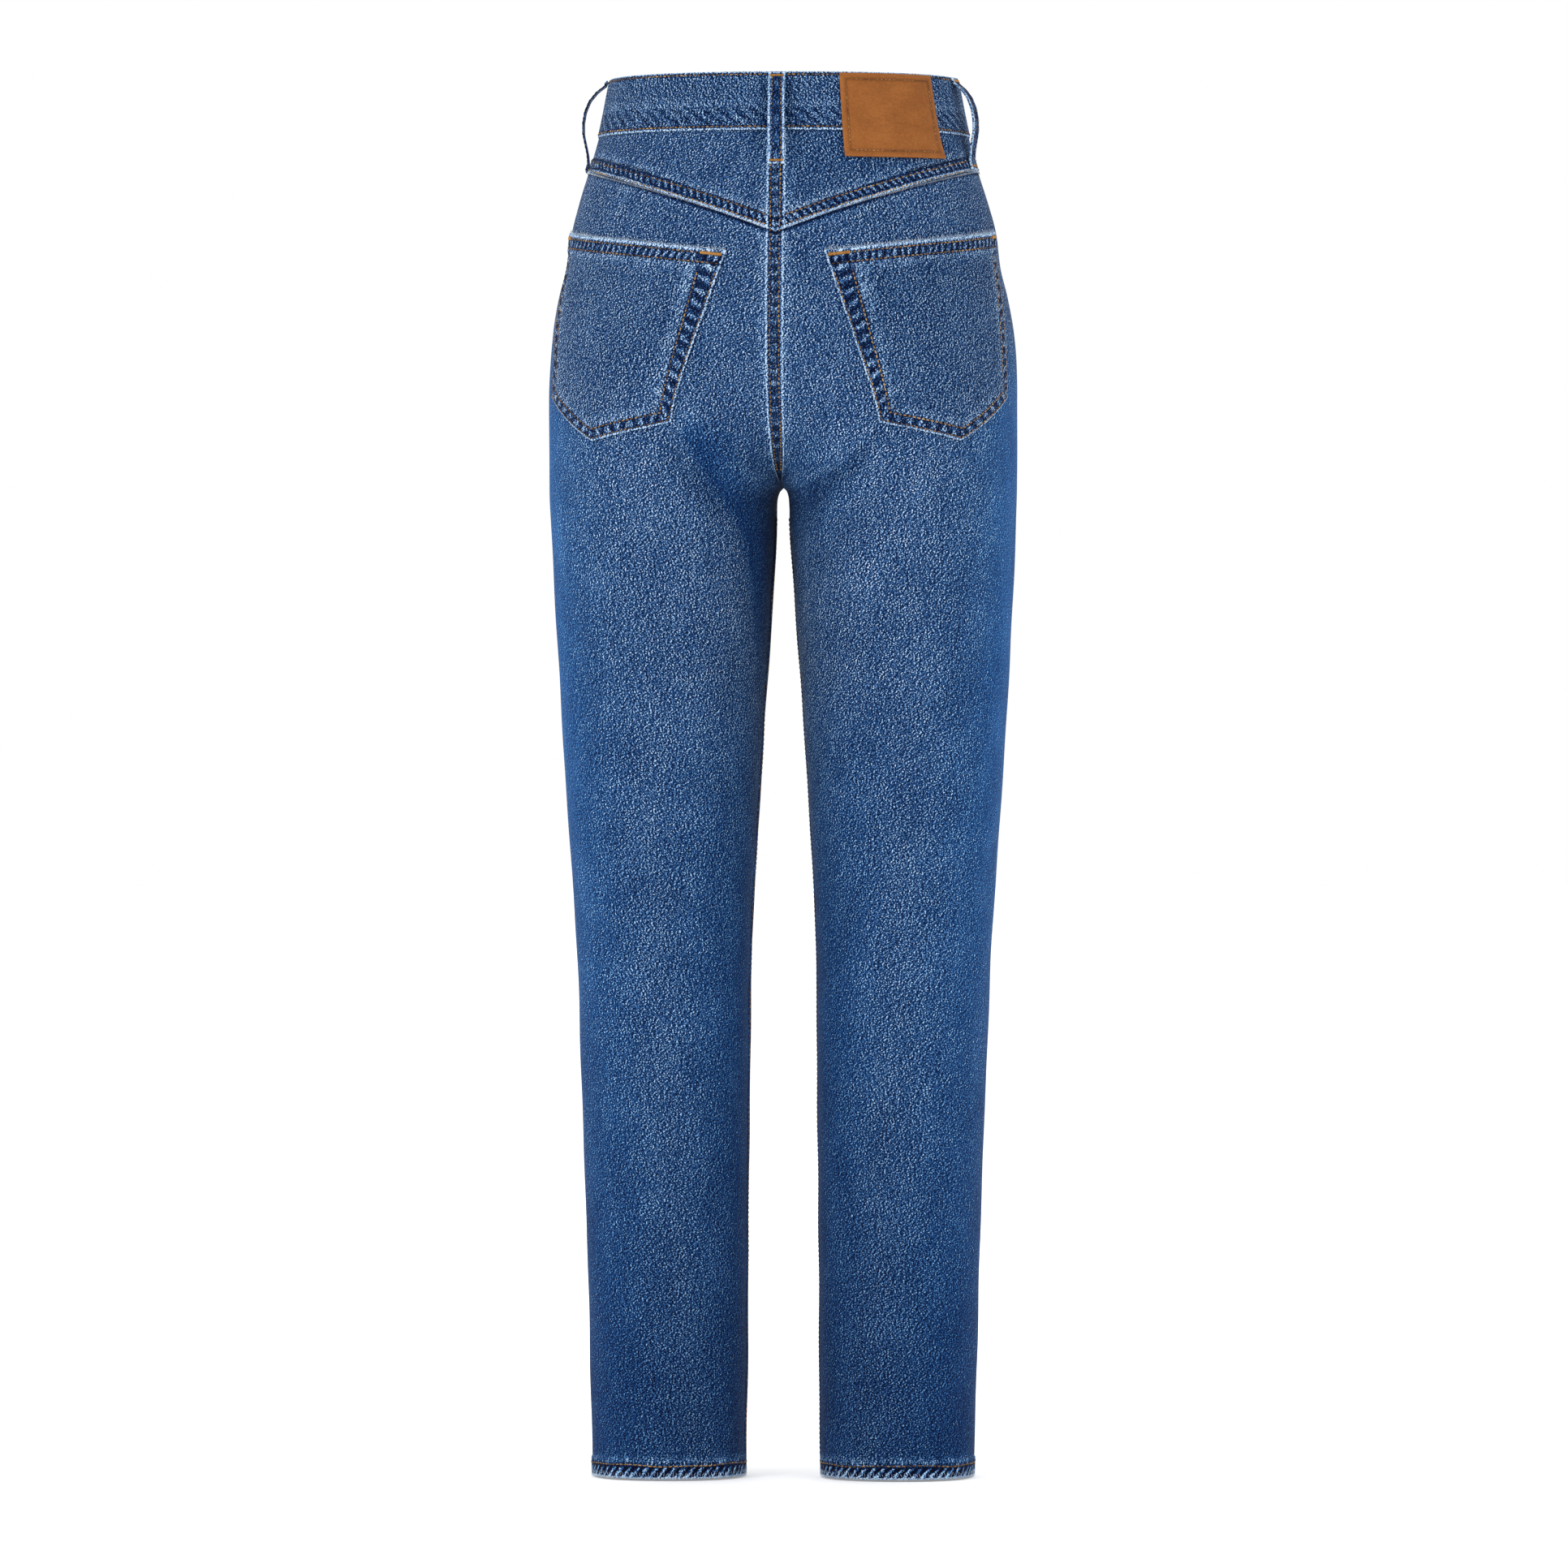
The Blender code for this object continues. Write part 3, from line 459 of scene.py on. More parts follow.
def read_attribute(dye, name):
    vector = dye.node("Attribute", {"attribute_name": name}, {}, 1)
    return [vector.node("SeparateXYZ", {}, {0: vector}, k) for k in range(3)]


def start_material(name):
    material = bpy.data.materials.new(name)
    material.use_nodes = True
    return material, material.node_tree.nodes["Principled BSDF"], Dye(material.node_tree)


def join_shader(shader, color, rough, height, **constants):
    """Links the values that vary to the shader, and sets the ones that don't."""
    bump = height.node("Bump", {}, {"Height": height, "Distance": 0.001, "Strength": 1.0})
    for socket, value in (("Base Color", color), ("Roughness", rough), ("Normal", bump)):
        if isinstance(value, Dye):
            value.tree.links.new(value.socket, shader.inputs[socket])
        else:
            shader.inputs[socket].default_value = value
    for socket, value in constants.items():
        shader.inputs[socket.replace("_", " ")].default_value = value


def dye_denim(name, seams, outseam=False, falling=False, ground=1.0, coarse=1.12):
    """Washed twill. seams has its sewn edges: which one, how far in the pale rubbed ridge is and its
    width, where the dark lines of painted shade are, along rows of stitches or under an edge, where
    the puckers start and end, their length, slant and strength."""
    material, shader, dye = start_material(name)
    across, drop, tone = read_attribute(dye, "cloth")
    from_side, from_top, along = read_attribute(dye, "edges")
    # smooth comes partly from rubbed cloth and partly from painted shade on the panels
    smooth, from_outseam, _ = read_attribute(dye, "wear")
    turn = math.radians(50)
    lean = -1.0 if falling else 1.0
    over = across * math.sin(turn) + drop * (lean * math.cos(turn))
    run = across * math.cos(turn) - drop * (lean * math.sin(turn))

    slub = drop.speckle(across, 0.00045, 0.0060, 1.0, 3.1)
    fleck = drop.speckle(across, 0.0008, 0.0012, 1.0, 9.4)
    cloud = drop.speckle(across, 0.020, 0.038, 3.0, 5.2)
    over = over + (slub - 0.5) * 0.0004
    ridge = over.wave(0.00118)
    dash = run.threads(over + 0.00059, 0.0013, 0.00118, 21.0)
    yarn = drop.grainy(across, 0.00075, 0.00062, 41.0)
    speck = run.grainy(over, 0.00070, 0.00060, 61.0)
    grain = (ridge - 0.5) * 0.10 + ridge * (dash - 0.5) * 0.14 + yarn * 0.57 + (slub - 0.5) * 0.08
    grain = (grain + speck * 0.53) * (coarse - smooth * 0.52)
    height = ridge * 0.06 + dash * 0.04 + slub * 0.08

    def sewn(distance, length, ridge_at, ridge_wide, rows, low, high, pitch, slant, force, seed):
        """Pale rubbed ridge, hollows and pale crests between the rows, and a pale fringe beyond. The
        hollows are darkened partly as worn dye and partly as painted shade, and each row as a line of
        painted shade.
        """
        patch = length.speckle(distance, 0.0060, 0.0048, 1.0, seed)
        streak = length.speckle(distance, 0.0050, 0.0007, 1.0, seed + 0.5)
        crest = (length + distance * slant + (patch - 0.5) * (0.70 * pitch)).wave(pitch)
        between = distance.slope(low + 0.0002, low + 0.0012)
        between = between * distance.slope(high - 0.0012, high - 0.0002, 1.0, 0.0)
        end = max(high, ridge_at + ridge_wide)
        fringe = distance.slope(end + 0.0003, end + 0.0010)
        fringe = fringe * distance.slope(end + 0.0006, end + 0.0095, 1.0, 0.0)
        streaks = streak.maths("MAXIMUM", streak * 4.5 - 1.75, 0.0)
        rubbed = distance.bell(ridge_at, ridge_wide) * (streak * 2.2 + patch * 1.2 - 0.10)
        rubbed = rubbed + between * crest * (patch * 2.2 - 0.30) * force
        rubbed = rubbed + fringe * streaks * (patch * 2.2 - 0.20) * (force * 0.7 + 0.3)
        # hollows: partly worn dye, partly painted shade; each row adds a dark line of painted shade
        hollow = between * (1.0 - crest) * (2.7 - patch * 1.6) * force
        for row in rows:
            hollow = hollow + distance.bell(row, 0.0010) * 1.3
        return rubbed, hollow, rubbed * 0.16 - hollow * 0.18

    worn = fleck * 0.0
    dark = fleck * 0.0
    ways = {"side": (from_side, along), "top": (from_top, across), "hem": (HEM_DROP - drop, across)}
    for n, (edge, *sizes) in enumerate(seams):
        rubbed, hollow, raised = sewn(*ways[edge], *sizes, 11.0 + n)
        worn, dark, height = worn + rubbed, dark + hollow, height + raised
    if outseam:
        patch = drop.speckle(from_outseam, 0.006, 0.011, 1.0, 16.0)
        worn = worn + from_outseam.bell(0.0030, 0.0018) * (patch * 2.0 - 0.75)
        height = height + from_outseam.bell(0.0, 0.0040) * 0.30
        dark = dark + from_outseam.bell(0.0, 0.0008) * 0.9

    level = 0.41 + grain + (cloud - 0.5) * 0.24 + worn * 0.36 - dark * 0.27
    color = level.colors(
        (0.02, (0.0003, 0.0022, 0.015)), (0.28, (0.0030, 0.0165, 0.060)), (0.50, (0.0120, 0.0460, 0.128)),
        (0.68, (0.0320, 0.0930, 0.216)), (0.84, (0.1020, 0.2000, 0.360)), (1.00, (0.3000, 0.4100, 0.550)),
        (1.20, (0.5500, 0.6300, 0.710)),
    )
    lift = worn.node("Clamp", {}, {0: worn * 0.55, 1: 0.0, 2: 0.85})
    # tone carries each piece's painted shade and light; worn marks rise out of it, and darker is bluer
    strength = tone * ground
    strength = strength + (1.0 - strength) * lift
    smooth = smooth * (1.0 - lift)
    red = strength.maths("POWER", strength, 1.45) * (0.89 - smooth * 0.29)
    green = strength.maths("POWER", strength, 1.05) * (1.0 + smooth * 0.20)
    blue = strength.maths("POWER", strength, 0.78) * (1.10 + smooth * 0.40)
    shade = strength.node("CombineXYZ", {}, {0: red, 1: green, 2: blue})
    color = color.node("VectorMath", {"operation": "MULTIPLY"}, {0: color, 1: shade})
    join_shader(shader, color, 0.93 - fleck * 0.08, height, Sheen_Weight=0.02, Specular_IOR_Level=0.06)
    return material


def dye_reverse(name):
    """The inside of the same cloth, where the pale crosswise yarn lies on top."""
    material, shader, dye = start_material(name)
    across, drop, tone = read_attribute(dye, "cloth")
    over = across * 0.788 - drop * 0.616
    yarn = across.speckle(drop, 0.0008, 0.0024, 2.0, 2.3)
    ridge = (over + (yarn - 0.5) * 0.0008).wave(0.00118)
    level = 0.35 + ridge * 0.28 + (yarn - 0.5) * 1.1
    color = level.colors(
        (0.15, (0.075, 0.120, 0.200)), (0.50, (0.230, 0.310, 0.420)), (0.85, (0.520, 0.580, 0.640)),
    )
    shade = tone.node("CombineXYZ", {}, {0: tone, 1: tone, 2: tone})
    color = color.node("VectorMath", {"operation": "MULTIPLY"}, {0: color, 1: shade})
    join_shader(shader, color, 0.95, ridge * 0.06 + yarn * 0.08, Specular_IOR_Level=0.2)
    return material


REVERSE = dye_reverse("denim_reverse")


def make_cloth(name, place, lifts, cloth, edges, wear, material, reverse=REVERSE):
    """A closed shell of cloth, rows by columns, with its outer and inner faces at these lifts."""
    outer, inner = (place(lift) for lift in lifts)
    rows, columns = outer.shape[:2]
    count = rows * columns
    number = np.arange(count).reshape(rows, columns)
    quads = np.stack([number[:-1, :-1], number[1:, :-1], number[1:, 1:], number[:-1, 1:]], -1).reshape(-1, 4)
    ring = np.concatenate([number[0, :-1], number[:-1, -1], number[-1, :0:-1], number[:0:-1, 0]])
    after = np.roll(ring, -1)
    rim = np.stack([ring, after, after + count, ring + count], -1)
    faces = np.concatenate([quads, quads[:, ::-1] + count, rim])
    mesh = bpy.data.meshes.new(name)
    mesh.from_pydata(np.concatenate([outer, inner]).reshape(-1, 3).tolist(), [], faces.tolist())
    mesh.materials.append(material)
    mesh.materials.append(reverse)
    slots = np.zeros(len(faces), np.int32)
    slots[len(quads):2 * len(quads)] = 1
    mesh.polygons.foreach_set("material_index", slots)
    for label, parts in (("cloth", cloth), ("edges", edges), ("wear", wear)):
        parts = np.stack(np.broadcast_arrays(*parts, np.zeros((rows, columns)))[:3], -1)
        layer = mesh.attributes.new(label, "FLOAT_VECTOR", "POINT")
        layer.data.foreach_set("vector", np.concatenate([parts, parts]).reshape(-1).astype(np.float32))
    bm = bmesh.new()
    bm.from_mesh(mesh)
    bmesh.ops.recalc_face_normals(bm, faces=list(bm.faces))
    bm.to_mesh(mesh)
    bm.free()
    mesh.shade_smooth()
    obj = bpy.data.objects.new(name, mesh)
    bpy.context.scene.collection.objects.link(obj)
    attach(obj, "root")
    return obj


BACK_STEADY, FRONT_STEADY = 0.248, 0.228
BACK_COLUMNS, FRONT_COLUMNS = 86, 80


def spread(total, steady, near, away):
    """Arcs across a panel from its centre seam and inside leg: the columns near the outer side
    keep to it, and those near the seam take up the length gained at the crotch."""
    total = np.asarray(total, float)
    steady = np.minimum(total, steady)
    far = 0.70 * steady
    edge = FELL_WIDTH + FELL_SLOPE
    columns = [np.full_like(total, at) for at in (SEAM_GAP / 2, 0.0006, 0.0018, 0.0038, FELL_WIDTH, edge)]
    for k in range(1, near + 1):
        share = 1 - k / near
        columns.append(total - far - (steady - far - edge) * share - (total - steady) * share**3)
    last = far - SEAM_GAP / 2
    return np.stack(columns + [total - far + last * (k + 1) / away for k in range(away)], -1)


def back_columns(drop_by_column):
    """Arcs from the back's centre seam and the inside leg, each column at its own drop."""
    columns = spread(half_round(drop_by_column) + OUTSEAM_FORWARD, BACK_STEADY, 24, 56)
    return np.stack([columns[:, k, k] for k in range(columns.shape[-1])], -1)


def yoke_seam(from_back):
    return 0.067 + 0.0475 * np.maximum(0.0, 1 - from_back / 0.185) ** 1.5


def fell_rise(from_seam, drop):
    """The four thicknesses of a felled seam, which flatten where the four panels meet."""
    flat = ramp(np.abs(drop - CROTCH_DROP), 0.010, 0.035)
    return FOLD_RAISE * (1 - ramp(from_seam, FELL_WIDTH, FELL_WIDTH + FELL_SLOPE)) * flat


def hem_rise(drop):
    edge = HEM_DROP - HEM_HEIGHT
    return FOLD_RAISE * ramp(drop, edge - FELL_SLOPE, edge)


def rounded(distance, thick):
    """The wall's outer face drops away over the last of a cut or folded edge."""
    return thick * (1 - 0.42 * (1 - ramp(distance, 0.0, 0.0011)) ** 2)


PANEL_ROWS = np.concatenate([
    [YOKE_CENTRE_DROP, 0.1151, 0.1163], np.arange(0.1190, 0.2770, 0.0030), np.arange(0.2785, 0.2880, 0.0015),
    [0.2890, CROTCH_DROP, 0.2898], np.arange(0.2908, 0.3000, 0.0014), np.arange(0.3020, 0.9780, 0.0031),
    [0.9809, 0.9825, 0.9850, 0.9880, 0.9910, 0.9932, 0.9942, HEM_DROP],
])
CENTRE_FELL = ("side", 0.0060, 0.0009, (0.0036,), -0.0020, 0.0036, 0.0085, 0.35, 0.50)
HEM_FOLD = ("hem", 0.0006, 0.0012, (0.0084, 0.0106), 0.0006, 0.0088, 0.0064, -0.85, 1.5)
# under the yoke's edge on the back panel: painted shadow as two dark lines, and a pale fringe of worn yarn
# below
UNDER_YOKE = ("top", -0.0100, 0.0010, (0.0005, 0.0015), -0.0030, 0.0028, 0.0055, 0.50, 0.0)
DENIM_BACK = dye_denim("denim_back_panel", (CENTRE_FELL, UNDER_YOKE, HEM_FOLD), True)

for side, word in ((LEFT, "left"), (RIGHT, "right")):
    level = PANEL_ROWS[:, None]
    at_top = back_columns(np.full((1, BACK_COLUMNS), YOKE_CENTRE_DROP))
    blend = 1 - ramp(level, YOKE_CENTRE_DROP, BLEND_DROP)
    drop = level + (yoke_seam(at_top) - YOKE_CENTRE_DROP) * blend
    drop[0] += SEAM_GAP
    from_centre = back_columns(drop)
    arc = half_round(drop) - from_centre
    from_outseam = arc + OUTSEAM_FORWARD
    from_top = drop - yoke_seam(at_top)
    thick = CLOTH + np.maximum(fell_rise(from_centre, drop), hem_rise(drop))
    thick = rounded(np.minimum(from_centre, HEM_DROP - drop), thick)
    tone, smooth = wash_and_painted_light(side, drop, arc)
    # the rubbed marks stop below the crotch, and are a little further out on the right
    from_fell = from_centre + (side == RIGHT) * 0.0006 + (drop > 0.312) * 0.03
    panel = make_cloth(
        f"denim_back_panel_{word}", lambda lift: cloth_place(side, drop, arc, lift), (thick, 0.0),
        (side * arc, drop, tone), (from_fell, from_top, drop), (smooth, from_outseam), DENIM_BACK,
    )
    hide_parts(f"back_panel_{word}")

# Yokes. The V-shaped piece between the waistband and each back panel, its lower edge felled over
# the panel in two rows, where it is thicker. Painted shadow darkens the cloth beside the back belt loop.
YOKE_FELL = 0.0096
DENIM_YOKE = dye_denim("denim_yoke", (
    CENTRE_FELL, ("top", 0.0010, 0.0013, (0.0029, 0.0094), 0.0027, 0.0094, 0.0056, 0.55, 1.0),
), True, ground=0.93)

for side, word in ((LEFT, "left"), (RIGHT, "right")):
    foot = yoke_seam(back_columns(np.full((1, BACK_COLUMNS), YOKE_CENTRE_DROP)))
    edge_rows = np.array((0.0112, YOKE_FELL, 0.0070, 0.0044, 0.0020, 0.0007, 0.0))[:, None]
    rows = np.linspace(0, 1, 20)[:-1, None]
    top = BAND_HEIGHT + SEAM_GAP
    drop = np.concatenate([top + (foot - YOKE_FELL - top) * rows, foot - edge_rows])
    from_centre = back_columns(drop)
    arc = half_round(drop) - from_centre
    from_foot = foot - drop
    fold = FOLD_RAISE * (1 - ramp(from_foot, YOKE_FELL, YOKE_FELL + FELL_SLOPE))
    thick = CLOTH + np.maximum(fold, fell_rise(from_centre, drop))
    thick = rounded(np.minimum(from_centre, from_foot), thick)
    tone, smooth = wash_and_painted_light(side, drop, arc)
    # painted shadow of the back belt loop on the yoke, at each side of the centre
    tone = tone * (1 - 0.42 * bell(from_centre, 0.0105, 0.0065) * (1 - ramp(drop, 0.058, 0.078)))
    yoke = make_cloth(
        f"denim_yoke_{word}", lambda lift: cloth_place(side, drop, arc, lift), (thick, 0.0),
        (side * arc, drop, tone), (from_centre, from_foot, drop), (smooth, arc + OUTSEAM_FORWARD), DENIM_YOKE,
    )
    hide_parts(f"yoke_{word}")

# Back pockets. Two patch pockets with pointed feet, their top edges turned in and stitched down,
# lying on the back panels. They are a little paler and greyer than the seat.
# Corners by length from the back's centre and drop: inner top, inner foot, point, outer foot and
# outer top. The second row of stitches starts further in at the inner top than it ends.
POCKETS = (0.034, 0.128), (0.076, 0.248), (0.139, 0.2605), (0.189, 0.229), (0.187, 0.110)
POCKET_HEM_SHARE = 0.0135 / 0.120
SIDE_ROWS, TOP_ROWS, SECOND_ROW_START = (0.0019, 0.0080), (0.0038, 0.0107), 0.0155
DENIM_POCKET = dye_denim("denim_pocket", (
    ("side", 0.0006, 0.0010, SIDE_ROWS, *SIDE_ROWS, 0.0088, 0.42, 0.85),
    ("top", 0.0012, 0.0016, TOP_ROWS, *TOP_ROWS, 0.0054, 0.30, 1.0),
), ground=0.87, coarse=1.18)


def from_line(arc, drop, start, end):
    """Distance from a straight line between two corners, and the length along it."""
    start, way = np.array(start), np.array(end) - np.array(start)
    length = np.hypot(*way)
    along = np.clip(((arc - start[0]) * way[0] + (drop - start[1]) * way[1]) / length, 0, length)
    away = np.hypot(arc - start[0] - way[0] / length * along, drop - start[1] - way[1] / length * along)
    return away, along


def pocket_place(side, from_back, drop, lift):
    return cloth_place(side, drop, half_round(drop) - from_back, CLOTH + OVERLAY_LIFT + lift)


for side, word in ((LEFT, "left"), (RIGHT, "right")):
    inner_top, inner_foot, point, outer_foot, outer_top = (np.array(corner) for corner in POCKETS)
    near_edge = np.array((0.0, 0.004, 0.012, 0.030))
    hem_foot = [POCKET_HEM_SHARE, POCKET_HEM_SHARE + 0.02]
    u = np.unique(np.concatenate([near_edge, 1 - near_edge, np.linspace(0, 1, 51)]))[None, :, None]
    v = np.unique(np.concatenate([near_edge, 1 - near_edge, hem_foot, np.linspace(0, 1, 47)]))
    v = v[:, None, None]
    top = inner_top + (outer_top - inner_top) * u
    inner_half = inner_foot + (point - inner_foot) * u * 2
    foot = np.where(u <= 0.5, inner_half, point + (outer_foot - point) * (u * 2 - 1))
    plan = top + (foot - top) * v
    from_back, drop = plan[..., 0], plan[..., 1]
    sides = [from_line(from_back, drop, start, end) for start, end in zip(POCKETS, POCKETS[1:])]
    away = np.stack([edge[0] for edge in sides])
    nearest = away.argmin(axis=0)
    long = [math.dist(start, end) for start, end in zip(POCKETS, POCKETS[1:])]
    starts = np.concatenate([[0], np.cumsum(long[:3])])
    along = np.take_along_axis(np.stack([edge[1] for edge in sides]), nearest[None], 0)[0] + starts[nearest]
    first_row, last_row = SIDE_ROWS
    second_row = SECOND_ROW_START - (SECOND_ROW_START - last_row) * np.clip(sides[0][1] / long[0], 0, 1)
    squeezed = first_row + (away[0] - first_row) * (last_row - first_row) / (second_row - first_row)
    away[0] = np.where(away[0] < first_row, away[0], squeezed)
    from_edge = away.min(axis=0)
    from_top = from_line(from_back, drop, POCKETS[4], POCKETS[0])[0]
    thick = CLOTH + FOLD_RAISE * (1 - ramp(v[..., 0], *hem_foot)) + 0 * drop
    thick = rounded(np.minimum(from_edge, from_top), thick)
    arc = half_round(drop) - from_back
    # painted light: the left pocket a little lighter and the right a little darker, as lit more from the left
    tone = wash_and_painted_light(side, drop, arc)[0] * (1.06 if side == LEFT else 0.96)
    pocket = make_cloth(
        f"denim_pocket_{word}", lambda lift: pocket_place(side, from_back, drop, lift), (thick, 0.0),
        (side * arc, drop, tone), (from_edge, from_top, along), (0.0, from_edge), DENIM_POCKET,
    )
    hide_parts(f"back_pocket_{word}")

# Front panels. Each runs from the waistband to the hem, its top outer corner cut away in a curve
# for the mouth of the hand pocket. The left one is doubled along the fly, in a raised J.
MOUTH_WIDTH, MOUTH_DEPTH, MOUTH_POWER, MOUTH_LEVEL = 0.118, 0.078, 1.7, 0.080
MOUTH_ROWS = (0.0018, 0.0080)
FLY_WIDTH, FLY_FOOT, FLY_EDGE = 0.038, BAND_HEIGHT + 0.150, 0.001
MOUTH_EDGE = ("top", 0.0006, 0.0010, MOUTH_ROWS, *MOUTH_ROWS, 0.0060, 0.40, 0.8)
DENIM_FRONT = dye_denim("denim_front_panel", (CENTRE_FELL, MOUTH_EDGE, HEM_FOLD), True)


def front_columns(drop_by_column):
    """Arcs from the front centre. Two of the columns follow the fly's edge as far as it goes."""
    total = half_round(drop_by_column) - OUTSEAM_FORWARD
    columns = spread(total, FRONT_STEADY, 24, 50)
    columns = np.stack([columns[:, k, k] for k in range(columns.shape[-1])], -1)
    below = ramp(drop_by_column, FLY_FOOT, FLY_FOOT + FLY_WIDTH)
    for k, edge in ((16, FLY_WIDTH - FLY_EDGE), (17, FLY_WIDTH + FLY_EDGE)):
        columns[:, k] = edge + (columns[:, k] - edge) * below[:, k]
    return columns


def mouth(from_front):
    total = half_round(np.array(MOUTH_LEVEL)) - OUTSEAM_FORWARD
    into = ramp(from_front, total - MOUTH_WIDTH, total)
    return BAND_HEIGHT + MOUTH_DEPTH * (1 - (1 - into) ** MOUTH_POWER) ** (1 / MOUTH_POWER)


FRONT_ROWS = np.concatenate([
    BAND_HEIGHT + np.array((0.0, 0.0006, 0.0020)), np.arange(0.0460, 0.1180, 0.0030), PANEL_ROWS[3:],
])

for side, word in ((LEFT, "left"), (RIGHT, "right")):
    level = FRONT_ROWS[:, None]
    at_top = front_columns(np.full((1, FRONT_COLUMNS), MOUTH_LEVEL))
    drop = level + (mouth(at_top) - BAND_HEIGHT) * (1 - ramp(level, BAND_HEIGHT, BLEND_DROP))
    drop[0] += SEAM_GAP
    from_front = front_columns(drop)
    arc = from_front - half_round(drop)
    from_outseam = -arc - OUTSEAM_FORWARD
    from_top = drop - mouth(np.where(from_front < at_top, from_front, at_top))
    below_fly = ramp(drop, FLY_FOOT - FELL_WIDTH, FLY_FOOT)
    rise = np.maximum(fell_rise(from_front, drop) * below_fly, hem_rise(drop))
    if side == LEFT:
        up = np.clip(drop - FLY_FOOT + FLY_WIDTH, 0.0, FLY_WIDTH)
        inside = np.sqrt(FLY_WIDTH**2 - up**2)
        flap = (drop <= FLY_FOOT) * (1 - ramp(from_front, inside - FLY_EDGE, inside + FLY_EDGE))
        rise = np.maximum(rise, FOLD_RAISE * flap)
    from_edge = np.minimum(np.minimum(from_front, HEM_DROP - drop), np.maximum(from_top, 0))
    thick = rounded(from_edge, CLOTH + rise)
    tone, smooth = wash_and_painted_light(side, drop, arc)
    # the felled seam's rubbed marks stop at the fly
    from_fell = from_front + 0.03 * (1 - below_fly)
    panel = make_cloth(
        f"denim_front_panel_{word}", lambda lift: cloth_place(side, drop, arc, lift), (thick, 0.0),
        (side * arc, drop, tone), (from_fell, from_top, drop), (smooth, from_outseam), DENIM_FRONT,
    )
    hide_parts(f"front_panel_{word}")

# Pocket facings and fly shield. The facing is the darker, less rubbed denim that fills the mouth
# of each hand pocket, under the front panel. The shield is the strip behind the fly.
FACING_ARCS = (SEAM_GAP / 2, 0.009, 0.022, 0.036, 0.050, 0.064, 0.078, 0.092, 0.104, 0.1165, 0.130)
FACING_DROPS = (SEAM_GAP, 0.009, 0.020, 0.034, 0.048, 0.060, 0.067, 0.076, 0.091, 0.108)
UNDER = CLOTH + 0.0007
DENIM_INNER = dye_denim("denim_facing", (), ground=0.72)

for side, word in ((LEFT, "left"), (RIGHT, "right")):
    from_side = np.unique(np.concatenate([FACING_ARCS, np.linspace(0.012, 0.128, 36)]))[None, :]
    below = np.unique(np.concatenate([FACING_DROPS, np.linspace(0.002, 0.106, 32)]))[:, None]
    drop = BAND_HEIGHT + below + 0 * from_side
    arc = -OUTSEAM_FORWARD - from_side + 0 * below
    sunk = np.minimum(ramp(below, SEAM_GAP, FACING_DROPS[1]), ramp(from_side, FACING_ARCS[0], FACING_ARCS[1]))
    sunk = np.maximum(sunk, ramp(from_side, FACING_ARCS[7], FACING_ARCS[8]))
    sunk = UNDER * np.maximum(sunk, ramp(below, FACING_DROPS[5], FACING_DROPS[6]))
    tone, smooth = wash_and_painted_light(side, drop, arc)
    facing = make_cloth(
        f"denim_facing_{word}", lambda lift: cloth_place(side, drop, arc, lift), (CLOTH - sunk, -sunk),
        (side * arc, drop, tone), (from_side, below, drop), (smooth, from_side), DENIM_INNER,
    )
    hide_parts(f"pocket_facing_{word}")

across = np.linspace(FLY_WIDTH + 0.002, -0.006, 20)[None, :]
drop = np.linspace(BAND_HEIGHT + SEAM_GAP, BAND_HEIGHT + 0.158, 54)[:, None] + 0 * across
arc = np.abs(across) - half_round(drop)
shield = make_cloth(
    "denim_fly_shield", lambda lift: np.where(
        (across >= 0)[..., None], cloth_place(LEFT, drop, arc, lift), cloth_place(RIGHT, drop, arc, lift),
    ), (CLOTH - UNDER, -UNDER), (across, drop, 1.0), (0.05, 0.05, drop), (0.0, 0.05), DENIM_INNER,
)
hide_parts("fly_shield")

# Waistband. One straight strip folded double, set on the top of all the panels, its left end
# lapping over the right at the front. Its twill leans the other way, because it is cut across.
BAND_THICK = 0.0024
BAND_TOP_ROW, BAND_FOOT_ROW = 0.0022, 0.0024
DENIM_BAND = dye_denim("denim_waistband", (
    ("side", 0.0006, 0.0008, (BAND_FOOT_ROW,), 0.0036, 0.0160, 0.0110, 1.30, 0.42),
    ("top", 0.0003, 0.0007, (BAND_TOP_ROW,), 0.0004, 0.0012, 0.0050, 0.60, 0.0),
), falling=True, ground=0.76, coarse=1.25)


def band_place(drop, around, lift):
    """Points of the band: around is 0 at the front centre, 1 at the back and 2 at the front."""
    drop, around, lift = np.broadcast_arrays(drop, around, lift)
    half = half_round(drop)
    lap = around * 2 * half
    over = lap > 2 * half
    side = np.where(over, RIGHT, LEFT)
    lap = np.where(over, 4 * half - lap, lap)
    inset = np.where(over, ramp(-lap, -0.060, -0.015), 0.0)
    side, lap = np.where(lap < 0, -side, side), np.abs(lap)
    inset = inset * inset * (3 - 2 * inset) * (BAND_THICK + 2 * LIFT)
    points = bare(drop, lap - half) + outward(drop, lap - half) * (lift - inset)[..., None]
    points[..., 0] *= side
    return points


